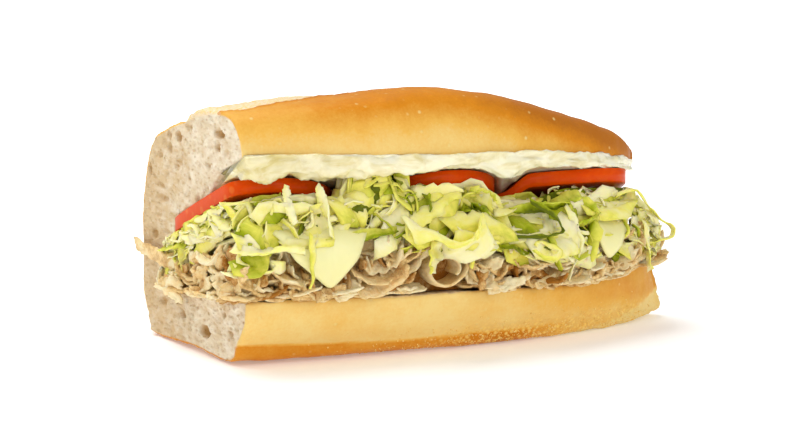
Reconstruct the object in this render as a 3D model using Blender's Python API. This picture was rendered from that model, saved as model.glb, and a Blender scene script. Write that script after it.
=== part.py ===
"""Half of a submarine sandwich: a hinged roll, cut across at -X and open along -Y and round its tip at +X.

From the top down it holds mayonnaise, three tomato slices, shredded lettuce, four cheese slices and a heap
of shaved meat. All lengths are in metres and +Z is up. The origin lies on the floor, under the roll.
"""

import math
import random

import bmesh
import bpy
from mathutils import Euler, Matrix, Vector
from mathutils.bvhtree import BVHTree

MM = 0.001

# The roll: its two ends along X, the slant of the cut, and the widest section's half width.
CUT_X = -91.6 * MM
CUT_SLANT = math.tan(math.radians(8))
TOP_TIP_X = 82 * MM
BOTTOM_TIP_X = 89 * MM
FLOOR_TIP_X = 95 * MM
HALF_WIDTH = 43.4 * MM
BELLY = 0.06
BELLY_POWER = 0.6
TAPER_POWER = 3.0
TAPER_ROUND = 0.65
TIP_WIDTH = 0.03

# Heights along the roll: share of the length, floor, lower lip, upper lip, crown.
ROLL_STATIONS = [
    (0.00, 0.0 * MM, 24.2 * MM, 73.5 * MM, 86.8 * MM),
    (0.15, 0.0 * MM, 24.0 * MM, 72.8 * MM, 89.4 * MM),
    (0.28, 0.0 * MM, 23.5 * MM, 71.6 * MM, 91.6 * MM),
    (0.39, 0.0 * MM, 23.0 * MM, 70.8 * MM, 93.6 * MM),
    (0.50, 0.0 * MM, 22.4 * MM, 69.8 * MM, 92.4 * MM),
    (0.61, 0.0 * MM, 21.5 * MM, 68.7 * MM, 88.9 * MM),
    (0.73, 0.0 * MM, 20.7 * MM, 66.8 * MM, 83.5 * MM),
    (0.85, 0.3 * MM, 21.2 * MM, 64.0 * MM, 77.5 * MM),
    (0.93, 1.2 * MM, 23.5 * MM, 62.0 * MM, 72.5 * MM),
    (1.00, 3.0 * MM, 26.0 * MM, 60.0 * MM, 65.0 * MM),
]
FLOOR, LOWER_LIP, UPPER_LIP, CROWN = 1, 2, 3, 4

# The roll's closed outline: share of the half width, and level, where 0 is the floor, 1 the lower lip,
# 2 the upper lip and 3 the crown.
SECTION = [
    (-0.59, 0.00), (-0.83, 0.33), (-0.97, 0.70), (-1.00, 1.00), (-1.03, 1.50), (-0.954, 2.00),
    (-0.91, 2.45), (-0.77, 2.90), (-0.48, 3.00), (-0.19, 2.88), (0.14, 2.60), (0.49, 2.29),
    (0.80, 1.90), (0.97, 1.51), (1.00, 1.12), (0.995, 0.64), (0.86, 0.13), (0.66, 0.00),
]  # fmt: skip
SECTION_STEPS = 2
ROLL_RINGS = 24
RING_SPREAD = 1.15

# The slit that opens the roll: how far back it reaches, and the fall of its faces from the lips to there.
LIP_SHARE = 0.954
HINGE_Y = 27 * MM
HINGE_ROUND = 4 * MM
UPPER_FALL = 0.40
LOWER_FALL = 0.088
SLIT_FRONT_Y = -75 * MM
SLIT_ENDS = (-115 * MM, 115 * MM)
SLIT_RINGS = 32
SLIT_BACK_STEPS = 4

# Layers, from the upper cut face down.
GAP = 0.4 * MM
MAYO_ROOMS = [
    (-100 * MM, 5.6 * MM), (-65 * MM, 5.6 * MM), (-42 * MM, 6.0 * MM), (-28 * MM, 4.2 * MM),
    (-9 * MM, 3.4 * MM), (12 * MM, 3.4 * MM), (30 * MM, 3.2 * MM), (60 * MM, 2.6 * MM), (100 * MM, 2.6 * MM),
]  # fmt: skip
MAYO_ROOM_MEAN = 4.5 * MM
MAYO_PROUD = 1.0 * MM
MAYO_TIP_IN = 4 * MM
MAYO_NARROWEST = 4 * MM
MAYO_NARROWING = 0.5
MAYO_BACK_SLOPE = 0.1

# The mayonnaise's rows from the lip inwards: distance from the lip, and share of the bead.
MAYO_ROWS = [(0, 0.1), (1.4 * MM, 1), (3.3 * MM, 0.9), (4.6 * MM, 0), (30 * MM, 0), (54 * MM, 0)]
BEAD_DEPTH = 3.2 * MM
BEAD_END = 0.8

# The mayonnaise's ridges: share, waves a metre along X and along Y (in radians), and phase.
MAYO_RIDGES = [(0.4, 95, 60, 0.0), (0.35, 210, -130, 1.3), (0.25, 400, 0, 2.0)]
MAYO_FILL, MAYO_FILL_SWING = 0.83, 0.17

# The slices and layers under it.
TOMATO_THICK = 5.6 * MM
TOMATO_SAG = 5.6 * MM
TOMATO_SAG_FROM = 18.5 * MM
TOMATO_SAG_TO = 29 * MM
TOMATO_LEAN = 0.2
UNDER_SAG_TO = 44 * MM
OVERLAP_X = 20 * MM
CHEESE_THICK = 1.6 * MM
CHEESE_LIFT = 2.5 * MM
CHEESE_LEVEL = 0.55
LETTUCE_LIFT = 4.9 * MM

# The filling's outer edge in plan, a little blunter than the roll.
FILLING_TIP_X = 96 * MM
FILLING_HALF = 43.8 * MM
FILLING_BELLY = 0.04
FILLING_POWER = 3.4
FILLING_ROUND = 0.75
BACK_INSET = 5 * MM
DRAPE_BACK_Y = 21 * MM
DRAPE_SETBACK = 4.5 * MM
DRAPE_RADIUS = 6 * MM

# Tomato slices: centre x and y, radius along X and Y, how far the end under its neighbour hangs, and how far
# that end leans to the front.
TOMATOES = [
    (-72 * MM, -7 * MM, 30 * MM, 31 * MM, 0, 0),
    (-8 * MM, -7.4 * MM, 26.5 * MM, 29 * MM, 0, 0),
    (44 * MM, -0.8 * MM, 33 * MM, 23.5 * MM, TOMATO_SAG, TOMATO_LEAN),
]

# Cheese slices: centre x, centre run from the hinge, side and turn of the square, and layer.
CHEESES = [
    (-78 * MM, 38 * MM, 42 * MM, 4, 0),
    (-61 * MM, 44 * MM, 58 * MM, 41, 1),
    (3 * MM, 35 * MM, 57 * MM, 50, 0),
    (51 * MM, 32 * MM, 44 * MM, 38, 1),
]

# The meat's core: how far it stays inside the layer's front, the cut, the cheese and the tip.
MEAT_CORE_FRONT_IN = 7 * MM
MEAT_CORE_CUT_IN = 1.5 * MM
MEAT_CORE_UNDER = 1.8 * MM
MEAT_CORE_LEAST = 3 * MM
MEAT_CORE_END = 82 * MM

# The meat's shaved flakes; every fourth lies at the cut, and the others along the front.
MEAT_FLAKES = 34
MEAT_THICK = 1.9 * MM
MEAT_SEED = 11
MEAT_END = 80 * MM
AT_CUT_EVERY = 4
FLAKE_COLUMNS, FLAKE_ROWS = 6, 3
FLAKE_CUT_Y = (-36, 14)
FLAKE_CUT_OUT = (-1, 6)
FLAKE_CUT_YAW = (60, 120)
FLAKE_FRONT_OUT = (-2, 5)
FLAKE_FRONT_YAW = (-45, 45)
FLAKE_LEVEL = (0.08, 0.9)
FLAKE_WIDTH = (13, 25)
FLAKE_DEPTH = (8, 14)
FLAKE_WAVE = (0.8, 3.2)
FLAKE_WAVES_A_METRE = 300
FLAKE_PITCH = (-50, 60)
FLAKE_ROLL = (-30, 30)
RAGGED = 1.4 * MM
RAGGED_TURN = 2.4

# The slice of meat that is rolled up at the front: the middle of its mouth, and how it turns from there.
MEAT_ROLL = (-14 * MM, -47.5 * MM, 31.5 * MM)
MEAT_ROLL_RADIUS = 7.2 * MM
ROLL_UP_TURNS = 1.3
ROLL_UP_START = -0.6
ROLL_UP_INNER = 0.55
ROLL_UP_WIDE = 1.15
ROLL_UP_STEPS = 14
ROLL_UP_DEPTH = 12 * MM

# The lettuce's core, as for the meat's; its back edge comes forward by the tip.
LETTUCE_CORE_FRONT_IN = 8 * MM
LETTUCE_CORE_CUT_IN = 3 * MM
LETTUCE_CORE_UNDER = 1.2 * MM
LETTUCE_CORE_LEAST = 0.8 * MM
LETTUCE_CORE_END = 78 * MM
LETTUCE_BACK_Y = 8 * MM
LETTUCE_BACK_SHIFT = 12 * MM
LETTUCE_BACK_RUN = 60 * MM
SLOPE_FROM_Y, SLOPE_TO_Y = -20 * MM, 10 * MM

# The lettuce: shreds laid over the cheese, and every fifth hanging over the front.
SHREDS = 38
SHRED_LOW, SHRED_HIGH, SHRED_PEAK = 6.0 * MM, 11.5 * MM, 21 * MM
SHRED_PEAK_X, SHRED_PEAK_HALF = -42 * MM, 20 * MM
SHRED_LAST_START = 78 * MM
SHRED_END = 90 * MM
SHRED_BACK = 24 * MM
SHRED_LEAST_LIFT = 1.2 * MM
SHRED_SCATTER = (0, 0.04)
SHRED_THICK = 1.0 * MM
SHRED_STEPS = 6
SHRED_SEED = 7
HANGS_EVERY = 5
HANGING_PLACE, LYING_PLACE = (-8, -1), (-10, 5)
HANGING_HEADING, LYING_HEADING = (0.8, 2.0), (-0.6, 0.6)
HANGING_LENGTH, LYING_LENGTH = (10, 15), (18, 34)
SHRED_WIDTH = 4.0 * MM
SHRED_WIDTH_SHARE = (0.75, 1.25)
SHRED_BEND = (-0.35, 0.35)
SHRED_CURL = (0.3, 1.8)
SHRED_CURL_STEP = 1.2
SHRED_TWIST = (-0.22, 0.22)
SHRED_TILT = 0.5
SHRED_LEANS_BACK = -0.35

# Loose pieces: tries for each, the step that spreads them along X, and how low they may hang.
TRIES = 60
SPREAD = 0.618
START_IN = 2 * MM
LOWEST = 15 * MM

# Points closer than this merge after a cut.
SLIVER = 2e-6

# How finely the layers are divided.
MAYO_COLUMNS = 27
MAYO_BACK_Y = 16 * MM
TOMATO_SIDES = 28
TOMATO_CUT_IN = 0.5 * MM
TOMATO_RIM = [(0.9, 0.0), (0.98, 0.12), (1.0, 0.45), (0.98, 0.88), (0.9, 1.0)]
CHEESE_CELLS = 7
CORE_COLUMNS, CORE_ROWS = 16, 6
BISECT_MERGE = 1e-7

COLOURS = {
    "roll": ((0.78, 0.47, 0.16), 0.5),
    "mayonnaise": ((0.93, 0.91, 0.78), 0.25),
    "tomato": ((0.72, 0.10, 0.03), 0.25),
    "cheese": ((0.93, 0.90, 0.66), 0.35),
    "lettuce": ((0.62, 0.74, 0.25), 0.4),
    "meat": ((0.60, 0.46, 0.32), 0.55),
}


def clear_scene():
    for obj in list(bpy.data.objects):
        bpy.data.objects.remove(obj)


def blend(a, b, t):
    return a + (b - a) * t


def clamp(value, low, high):
    return min(max(value, low), high)


def cut_x(y):
    """The cut's x at this y."""
    return CUT_X - y * CUT_SLANT


def share(x, tip):
    """0 at the cut and 1 at the tip."""
    return clamp((x - CUT_X) / (tip - CUT_X), 0, 1)


def taper(u):
    """Width of the roll at a share of its length, against the cut's."""
    belly = 1 + BELLY * math.sin(math.pi * u**BELLY_POWER)
    return max(belly * (1 - u**TAPER_POWER) ** TAPER_ROUND, TIP_WIDTH)


def height(u, column):
    """A height from ROLL_STATIONS, on a smooth curve."""
    last = len(ROLL_STATIONS) - 1
    i = max(k for k in range(last) if ROLL_STATIONS[k][0] <= u)
    before, a, b, after = (ROLL_STATIONS[clamp(k, 0, last)] for k in (i - 1, i, i + 1, i + 2))
    span = b[0] - a[0]
    t = (u - a[0]) / span
    rise_a = (b[column] - before[column]) / (b[0] - before[0]) * span
    rise_b = (after[column] - a[column]) / (after[0] - a[0]) * span
    t2, t3 = t * t, t * t * t
    return (
        (2 * t3 - 3 * t2 + 1) * a[column]
        + (t3 - 2 * t2 + t) * rise_a
        + (3 * t2 - 2 * t3) * b[column]
        + (t3 - t2) * rise_b
    )


def level_height(u, level):
    """Height of a level of the section: 0 floor, 1 lower lip, 2 upper lip, 3 crown."""
    i = min(int(level), 2)
    return blend(height(u, FLOOR + i), height(u, FLOOR + i + 1), level - i)


def tip_x(level):
    """The roll's end at a level."""
    if level <= 1:
        return blend(FLOOR_TIP_X, BOTTOM_TIP_X, level)
    return blend(BOTTOM_TIP_X, TOP_TIP_X, min(level - 1, 1))


def spline(points, steps):
    """A closed smooth curve through the points."""
    count = len(points)
    made = []
    for i in range(count):
        p0, p1, p2, p3 = (points[(i + k) % count] for k in (-1, 0, 1, 2))
        for step in range(steps):
            t = step / steps
            point = []
            for a, b, c, d in zip(p0, p1, p2, p3):
                bend = (2 * a - 5 * b + 4 * c - d) * t * t + (3 * b - a - 3 * c + d) * t**3
                point.append(0.5 * (2 * b + (c - a) * t + bend))
            made.append(tuple(point))
    return made


def lip_y(x):
    """The y of the upper lip."""
    return -LIP_SHARE * HALF_WIDTH * taper(share(x, TOP_TIP_X))


def upper_cut(x, y):
    """Height of the upper jaw's cut face."""
    return height(share(x, TOP_TIP_X), UPPER_LIP) - UPPER_FALL * (y - lip_y(x))


def lower_cut(x, y):
    """Height of the lower jaw's cut face."""
    u = share(x, BOTTOM_TIP_X)
    return height(u, LOWER_LIP) - LOWER_FALL * (y + HALF_WIDTH * taper(u))


def mayo_room(x):
    """Height left for the mayonnaise."""
    x = clamp(x, MAYO_ROOMS[0][0], MAYO_ROOMS[-1][0])
    for (x0, room0), (x1, room1) in zip(MAYO_ROOMS, MAYO_ROOMS[1:]):
        if x <= x1:
            t = (x - x0) / (x1 - x0)
            return blend(room0, room1, t * t * (3 - 2 * t))
    return MAYO_ROOMS[-1][1]


def tomato_top(x, y, sag=0.0, sag_to=TOMATO_SAG_TO):
    """Height of the tomato layer; a slice that hangs under its neighbour passes its sag."""
    t = clamp((sag_to - x) / (sag_to - TOMATO_SAG_FROM), 0, 1)
    return upper_cut(x, y) - mayo_room(x) - sag * t * t * (3 - 2 * t)


def tomato_bottom(x, y):
    """Height that the lettuce stays under, where two slices overlap too."""
    overlap = TOMATO_SAG if x > TOMATO_SAG_FROM - OVERLAP_X else 0
    return tomato_top(x, y, overlap, UNDER_SAG_TO) - TOMATO_THICK


def meat_top(x, y):
    """Height of the surface that the cheese lies on."""
    return blend(lower_cut(x, y), upper_cut(x, y) - MAYO_ROOM_MEAN - TOMATO_THICK, CHEESE_LEVEL)


def filling_front(x):
    """The y of the filling's outer edge."""
    v = clamp((x - CUT_X) / (FILLING_TIP_X - CUT_X), 0, 1)
    belly = 1 + FILLING_BELLY * math.sin(math.pi * v)
    return -FILLING_HALF * belly * (1 - v**FILLING_POWER) ** FILLING_ROUND


def filling_back(x, furthest):
    """The y of a layer's back edge, inside the roll's back by the tip."""
    return min(furthest, HALF_WIDTH * taper(share(x, TOP_TIP_X)) - BACK_INSET)


def drape(x, s, n):
    """The point s along the meat heap, from near the hinge over its front edge and down, and n off it."""
    bend_y = filling_front(x) + DRAPE_SETBACK
    back = Vector((DRAPE_BACK_Y, meat_top(x, DRAPE_BACK_Y)))
    bend = Vector((bend_y, meat_top(x, bend_y)))
    run = (bend - back).length
    tilt = math.atan2(bend.y - back.y, back.x - bend.x)
    if s <= run:
        along, normal = back.lerp(bend, s / run), Vector((math.sin(tilt), math.cos(tilt)))
        point = along + normal * n
        return Vector((x, point.x, point.y))
    centre = bend - DRAPE_RADIUS * Vector((math.sin(tilt), math.cos(tilt)))
    turn = (s - run) / DRAPE_RADIUS
    most = math.pi / 2 + tilt
    angle = tilt - min(turn, most)
    point = centre + Vector((math.sin(angle), math.cos(angle))) * (DRAPE_RADIUS + n)
    drop = max(turn - most, 0) * DRAPE_RADIUS
    return Vector((x, point.x, point.y - drop))


def bend_run(x):
    """How far along drape() the front edge's bend starts."""
    bend_y = filling_front(x) + DRAPE_SETBACK
    rise = meat_top(x, bend_y) - meat_top(x, DRAPE_BACK_Y)
    return math.hypot(DRAPE_BACK_Y - bend_y, rise)


def add_object(name, mesh_parts, colour):
    """An object from (vertices, faces)."""
    vertices, faces = mesh_parts
    mesh = bpy.data.meshes.new(name)
    mesh.from_pydata([tuple(v) for v in vertices], [], faces)
    mesh.validate()
    bm = bmesh.new()
    bm.from_mesh(mesh)
    bmesh.ops.recalc_face_normals(bm, faces=bm.faces)
    bm.to_mesh(mesh)
    bm.free()
    mesh.materials.append(material(colour))
    obj = bpy.data.objects.new(name, mesh)
    bpy.context.scene.collection.objects.link(obj)
    return obj


def material(name):
    found = bpy.data.materials.get(name)
    if found:
        return found
    colour, roughness = COLOURS[name]
    made = bpy.data.materials.new(name)
    made.use_nodes = True
    shader = made.node_tree.nodes["Principled BSDF"]
    shader.inputs["Base Color"].default_value = (*colour, 1)
    shader.inputs["Roughness"].default_value = roughness
    return made


def loft(rings):
    """A closed solid through rings of points, its two ends filled."""
    size = len(rings[0])
    vertices = [p for ring in rings for p in ring]
    faces = []
    for i in range(len(rings) - 1):
        for j in range(size):
            k = (j + 1) % size
            a, b = i * size, (i + 1) * size
            faces.append((a + j, a + k, b + k, b + j))
    faces.append(tuple(range(size)))
    faces.append(tuple((len(rings) - 1) * size + j for j in range(size)))
    return vertices, faces


def slab(upper, lower):
    """A thin closed solid between two grids of points, both faces split into triangles alike."""
    rows, columns = len(upper), len(upper[0])
    vertices = [p for row in upper for p in row] + [p for row in lower for p in row]
    under = rows * columns
    faces = []
    for i in range(rows - 1):
        for j in range(columns - 1):
            a, b = i * columns + j, (i + 1) * columns + j
            for triangle in ((a, a + 1, b + 1), (a, b + 1, b)):
                faces.append(triangle)
                faces.append(tuple(under + v for v in reversed(triangle)))
    edge = [j for j in range(columns)]
    edge += [i * columns + columns - 1 for i in range(1, rows)]
    edge += [(rows - 1) * columns + j for j in range(columns - 2, -1, -1)]
    edge += [i * columns for i in range(rows - 2, 0, -1)]
    for a, b in zip(edge, edge[1:] + edge[:1]):
        faces.append((a, under + a, under + b, b))
    return vertices, faces


def tree_of(obj):
    bm = bmesh.new()
    bm.from_mesh(obj.data)
    bmesh.ops.triangulate(bm, faces=bm.faces)
    tree = BVHTree.FromBMesh(bm)
    bm.free()
    return tree


def solid_tree(mesh_parts):
    vertices, faces = mesh_parts
    triangles = [(f[0], f[i], f[i + 1]) for f in faces for i in range(1, len(f) - 1)]
    return BVHTree.FromPolygons(vertices, triangles)


def clear_of(mesh_parts, others):
    """True if the solid crosses none of the others and keeps the gap to them."""
    tree = solid_tree(mesh_parts)
    if any(tree.overlap(other) for other in others):
        return False
    return not any(other.find_nearest(v, GAP)[0] for other in others for v in mesh_parts[0])


def fuse(core, pieces):
    """Joins the pieces to the core with one Boolean union, and keeps the largest body."""
    group = bpy.data.collections.new(core.name + "_pieces")
    bpy.context.scene.collection.children.link(group)
    for piece in pieces:
        bpy.context.scene.collection.objects.unlink(piece)
        group.objects.link(piece)
    union = core.modifiers.new("join", "BOOLEAN")
    union.operation = "UNION"
    union.operand_type = "COLLECTION"
    union.collection = group
    union.solver = "MANIFOLD"
    bpy.context.view_layer.objects.active = core
    bpy.ops.object.modifier_apply(modifier=union.name)
    for piece in pieces:
        bpy.data.objects.remove(piece)
    bpy.data.collections.remove(group)
    keep_largest(core)


def keep_largest(obj, merge=0.0):
    """Drops the loose scraps, the sealed hollows and the folded triangles that a Boolean leaves."""
    bm = bmesh.new()
    bm.from_mesh(obj.data)
    if merge:
        bmesh.ops.remove_doubles(bm, verts=bm.verts, dist=merge)
    bmesh.ops.triangulate(bm, faces=bm.faces)
    corners = {}
    for face in bm.faces:
        corners.setdefault(frozenset(v.index for v in face.verts), []).append(face)
    folded = [face for faces in corners.values() if len(faces) > 1 for face in faces]
    bmesh.ops.delete(bm, geom=folded, context="FACES")
    left = set(bm.faces)
    bodies = []
    while left:
        seen, queue = set(), [left.pop()]
        while queue:
            face = queue.pop()
            seen.add(face)
            for edge in face.edges:
                for other in edge.link_faces:
                    if other in left:
                        left.discard(other)
                        queue.append(other)
        bodies.append(seen)
    largest = max(bodies, key=len)
    loose = [f for body in bodies if body is not largest for f in body]
    bmesh.ops.delete(bm, geom=loose, context="FACES")
    bm.to_mesh(obj.data)
    bm.free()


def roll_outline():
    """The closed roll before it is slit: rings from the cut to the tip."""
    outline = [(side, max(level, 0)) for side, level in spline(SECTION, SECTION_STEPS)]
    rings = []
    for i in range(ROLL_RINGS + 1):
        u = math.sin(math.pi / 2 * i / ROLL_RINGS) ** RING_SPREAD
        ring = []
        for side, level in outline:
            y = side * HALF_WIDTH * taper(u)
            ring.append(Vector((blend(cut_x(y), tip_x(level), u), y, level_height(u, level))))
        rings.append(ring)
    return rings


def slit_rings():
    """The wedge that opens the roll, with a rounded back."""
    rings = []
    for i in range(SLIT_RINGS + 1):
        x = blend(*SLIT_ENDS, i / SLIT_RINGS)
        back = HINGE_Y - HINGE_ROUND
        top, bottom = upper_cut(x, back), lower_cut(x, back)
        ring = [Vector((x, SLIT_FRONT_Y, lower_cut(x, SLIT_FRONT_Y)))]
        ring.append(Vector((x, SLIT_FRONT_Y, upper_cut(x, SLIT_FRONT_Y))))
        for step in range(SLIT_BACK_STEPS + 1):
            t = step / SLIT_BACK_STEPS
            ring.append(Vector((x, back + HINGE_ROUND * math.sin(math.pi * t), blend(top, bottom, t))))
        rings.append(ring)
    return rings


def make_roll():
    roll = add_object("bread_roll", loft(roll_outline()), "roll")
    slit = add_object("slit", loft(slit_rings()), "roll")
    cut = roll.modifiers.new("slit", "BOOLEAN")
    cut.operation = "DIFFERENCE"
    cut.object = slit
    bpy.context.view_layer.objects.active = roll
    bpy.ops.object.modifier_apply(modifier=cut.name)
    bpy.data.objects.remove(slit)
    keep_largest(roll, SLIVER)
    return roll


def mayo_depth(x, y):
    """Share of its room that the mayonnaise fills: it is spread in long uneven ridges."""
    ridges = sum(part * math.sin(a * x + b * y + phase) for part, a, b, phase in MAYO_RIDGES)
    return MAYO_FILL + MAYO_FILL_SWING * ridges


def make_mayonnaise():
    """A layer under the upper jaw, with a bead along its front edge."""
    upper, lower = [], []
    tip = TOP_TIP_X - MAYO_TIP_IN
    for i, (run, bead) in enumerate(MAYO_ROWS):
        upper_row, lower_row = [], []
        for j in range(MAYO_COLUMNS):
            v = j / (MAYO_COLUMNS - 1)
            x = blend(CUT_X, tip, v)
            y = min(lip_y(x), -MAYO_NARROWEST) - MAYO_PROUD + run * (1 - MAYO_NARROWING * v * v)
            y = min(y, filling_back(x, MAYO_BACK_Y) + run * MAYO_BACK_SLOPE)
            x += (cut_x(y) - CUT_X) * (1 - v)
            top = upper_cut(x, y) - GAP
            depth = (mayo_room(x) - 2 * GAP) * mayo_depth(x, y)
            depth += bead * BEAD_DEPTH * max(1 - v / BEAD_END, 0) * mayo_depth(x, 0)
            upper_row.append(Vector((x, y, top)))
            lower_row.append(Vector((x, y, top - depth)))
        upper.append(upper_row)
        lower.append(lower_row)
    return add_object("mayonnaise", slab(upper, lower), "mayonnaise")


def make_tomato(number, centre_x, centre_y, radius_x, radius_y, sag, lean):
    """A slice that follows the mayonnaise, its rim rounded, and cut off where the sandwich is."""

    def place(ring, depth, angle):
        x = centre_x + radius_x * ring * math.cos(angle)
        y = centre_y + radius_y * ring * math.sin(angle) + lean * min(x - centre_x, 0)
        x = max(x, cut_x(y) + ring * TOMATO_CUT_IN)
        return Vector((x, y, tomato_top(x, y, sag) - depth * (TOMATO_THICK - GAP)))

    vertices = [place(0, TOMATO_RIM[0][1], 0)]
    for ring, depth in TOMATO_RIM:
        vertices += [place(ring, depth, 2 * math.pi * k / TOMATO_SIDES) for k in range(TOMATO_SIDES)]
    vertices.append(place(0, TOMATO_RIM[-1][1], 0))
    last = len(vertices) - 1
    faces = []
    for k in range(TOMATO_SIDES):
        n = (k + 1) % TOMATO_SIDES
        faces.append((0, 1 + n, 1 + k))
        for r in range(len(TOMATO_RIM) - 1):
            a, b = 1 + r * TOMATO_SIDES, 1 + (r + 1) * TOMATO_SIDES
            faces.append((a + k, a + n, b + n, b + k))
        b = 1 + (len(TOMATO_RIM) - 1) * TOMATO_SIDES
        faces.append((b + k, b + n, last))
    return add_object(f"tomato_slice_{number}", (vertices, faces), "tomato")


def make_cheese(number, centre_x, centre_s, side, turn, layer):
    """A square slice laid over the meat, the corner that passes the front edge hanging down."""
    spin = Matrix.Rotation(math.radians(turn), 2)
    low = layer * CHEESE_LIFT
    upper, lower = [], []
    for i in range(CHEESE_CELLS + 1):
        upper_row, lower_row = [], []
        for j in range(CHEESE_CELLS + 1):
            flat = spin @ Vector(((i / CHEESE_CELLS - 0.5) * side, (j / CHEESE_CELLS - 0.5) * side))
            s = centre_s + flat.y
            x = centre_x + flat.x
            upper_row.append(drape(x, s, low + CHEESE_THICK))
            lower_row.append(drape(x, s, low))
        upper.append(upper_row)
        lower.append(lower_row)
    cheese = add_object(f"cheese_slice_{number}", slab(upper, lower), "cheese")
    trim_at_cut(cheese)
    return cheese


def trim_at_cut(obj):
    """Cuts the object off where it passes the sandwich's cut."""
    bm = bmesh.new()
    bm.from_mesh(obj.data)
    face = Vector((-1, -CUT_SLANT, 0)).normalized()
    point = Vector((CUT_X + GAP, 0, 0))
    geometry = bm.verts[:] + bm.edges[:] + bm.faces[:]
    cut = bmesh.ops.bisect_plane(
        bm, geom=geometry, dist=BISECT_MERGE, plane_co=point, plane_no=face, clear_outer=True
    )
    edges = [e for e in cut["geom_cut"] if isinstance(e, bmesh.types.BMEdge)]
    if edges:
        bmesh.ops.holes_fill(bm, edges=edges, sides=0)
    bmesh.ops.recalc_face_normals(bm, faces=bm.faces)
    bm.to_mesh(obj.data)
    bm.free()


def core_solid(name, colour, low, high, back_y, front_in, start_in, end_x):
    """The plain inside of a heap, between two heights."""
    upper, lower = [], []
    for i in range(CORE_ROWS):
        upper_row, lower_row = [], []
        for j in range(CORE_COLUMNS):
            x = blend(CUT_X, end_x, j / (CORE_COLUMNS - 1))
            y = blend(filling_front(x) + front_in, back_y(x), i / (CORE_ROWS - 1))
            x = cut_x(y) + start_in if j == 0 else x
            upper_row.append(Vector((x, y, high(x, y))))
            lower_row.append(Vector((x, y, low(x, y))))
        upper.append(upper_row)
        lower.append(lower_row)
    return add_object(name, slab(upper, lower), colour)


def thick_grid(grid, thick):
    """Two grids half a thickness either side of one."""
    rows, columns = len(grid), len(grid[0])
    upper, lower = [], []
    for i in range(rows):
        upper_row, lower_row = [], []
        for j in range(columns):
            along = grid[min(i + 1, rows - 1)][j] - grid[max(i - 1, 0)][j]
            across = grid[i][min(j + 1, columns - 1)] - grid[i][max(j - 1, 0)]
            normal = along.cross(across).normalized()
            upper_row.append(grid[i][j] + normal * thick / 2)
            lower_row.append(grid[i][j] - normal * thick / 2)
        upper.append(upper_row)
        lower.append(lower_row)
    return upper, lower


def meat_flake(draw, x, at_cut):
    """One shaved slice, bent and wavy, near the front of the heap or near the cut."""
    if at_cut:
        y = draw.uniform(*FLAKE_CUT_Y) * MM
        x = cut_x(y) + draw.uniform(*FLAKE_CUT_OUT) * MM
        yaw = draw.uniform(*FLAKE_CUT_YAW)
    else:
        y = filling_front(x) + draw.uniform(*FLAKE_FRONT_OUT) * MM
        yaw = draw.uniform(*FLAKE_FRONT_YAW)
    z = blend(lower_cut(x, y), meat_top(x, y), draw.uniform(*FLAKE_LEVEL))
    width, depth = draw.uniform(*FLAKE_WIDTH) * MM, draw.uniform(*FLAKE_DEPTH) * MM
    wave, phase = draw.uniform(*FLAKE_WAVE) * MM, draw.uniform(0, 6)
    turn = Euler([math.radians(v) for v in (draw.uniform(*FLAKE_PITCH), draw.uniform(*FLAKE_ROLL), yaw)])
    grid = []
    for i in range(FLAKE_COLUMNS):
        row = []
        for j in range(FLAKE_ROWS):
            a = (i / (FLAKE_COLUMNS - 1) - 0.5) * width
            b = (j / (FLAKE_ROWS - 1) - 0.5) * depth
            b += RAGGED * math.sin(RAGGED_TURN * i + phase) * (1 - j / (FLAKE_ROWS - 1))
            off = Vector((a, b, wave * math.sin(a * FLAKE_WAVES_A_METRE + phase)))
            off.rotate(turn)
            row.append(Vector((x, y, z)) + off)
        grid.append(row)
    return grid


def meat_roll_up():
    """The slice that is rolled into an open tube, its mouth to the front."""
    x, y, z = MEAT_ROLL
    grid = []
    for i in range(ROLL_UP_STEPS + 1):
        t = i / ROLL_UP_STEPS
        angle = 2 * math.pi * ROLL_UP_TURNS * t + ROLL_UP_START
        radius = MEAT_ROLL_RADIUS * blend(ROLL_UP_INNER, 1.0, t)
        across = x + radius * math.cos(angle) * ROLL_UP_WIDE
        up = z + radius * math.sin(angle)
        grid.append([Vector((across, y, up)), Vector((across, y + ROLL_UP_DEPTH, up))])
    return grid


def add_pieces(name, draw_grid, wanted, thick, core, others, colour):
    """Draws each piece again until it is clear of the other parts and meets the core or an earlier piece."""
    joined = [tree_of(core)]
    made = []
    for index in range(wanted):
        for _ in range(TRIES):
            grid = draw_grid(index)
            if min(point.z for row in grid for point in row) < LOWEST:
                continue
            if not clear_of(slab(*thick_grid(grid, thick + 2 * GAP)), others):
                continue
            parts = slab(*thick_grid(grid, thick))
            tree = solid_tree(parts)
            if any(tree.overlap(other) for other in joined):
                joined.append(tree)
                made.append(add_object(f"{name}_{index}", parts, colour))
                break
    return made


def make_meat(others):
    draw = random.Random(MEAT_SEED)
    core = meat_core()

    def next_grid(index):
        if index == 0:
            return meat_roll_up()
        x = blend(CUT_X + START_IN, MEAT_END, index * SPREAD % 1)
        return meat_flake(draw, x, index % AT_CUT_EVERY == 0)

    fuse(core, add_pieces("flake", next_grid, MEAT_FLAKES, MEAT_THICK, core, others, "meat"))
    return core


def meat_core():
    return core_solid(
        "shaved_meat",
        "meat",
        lambda x, y: lower_cut(x, y) + GAP,
        lambda x, y: max(meat_top(x, y) - MEAT_CORE_UNDER, lower_cut(x, y) + MEAT_CORE_LEAST),
        lambda x: filling_back(x, DRAPE_BACK_Y - START_IN),
        MEAT_CORE_FRONT_IN,
        MEAT_CORE_CUT_IN,
        MEAT_CORE_END,
    )


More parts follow.
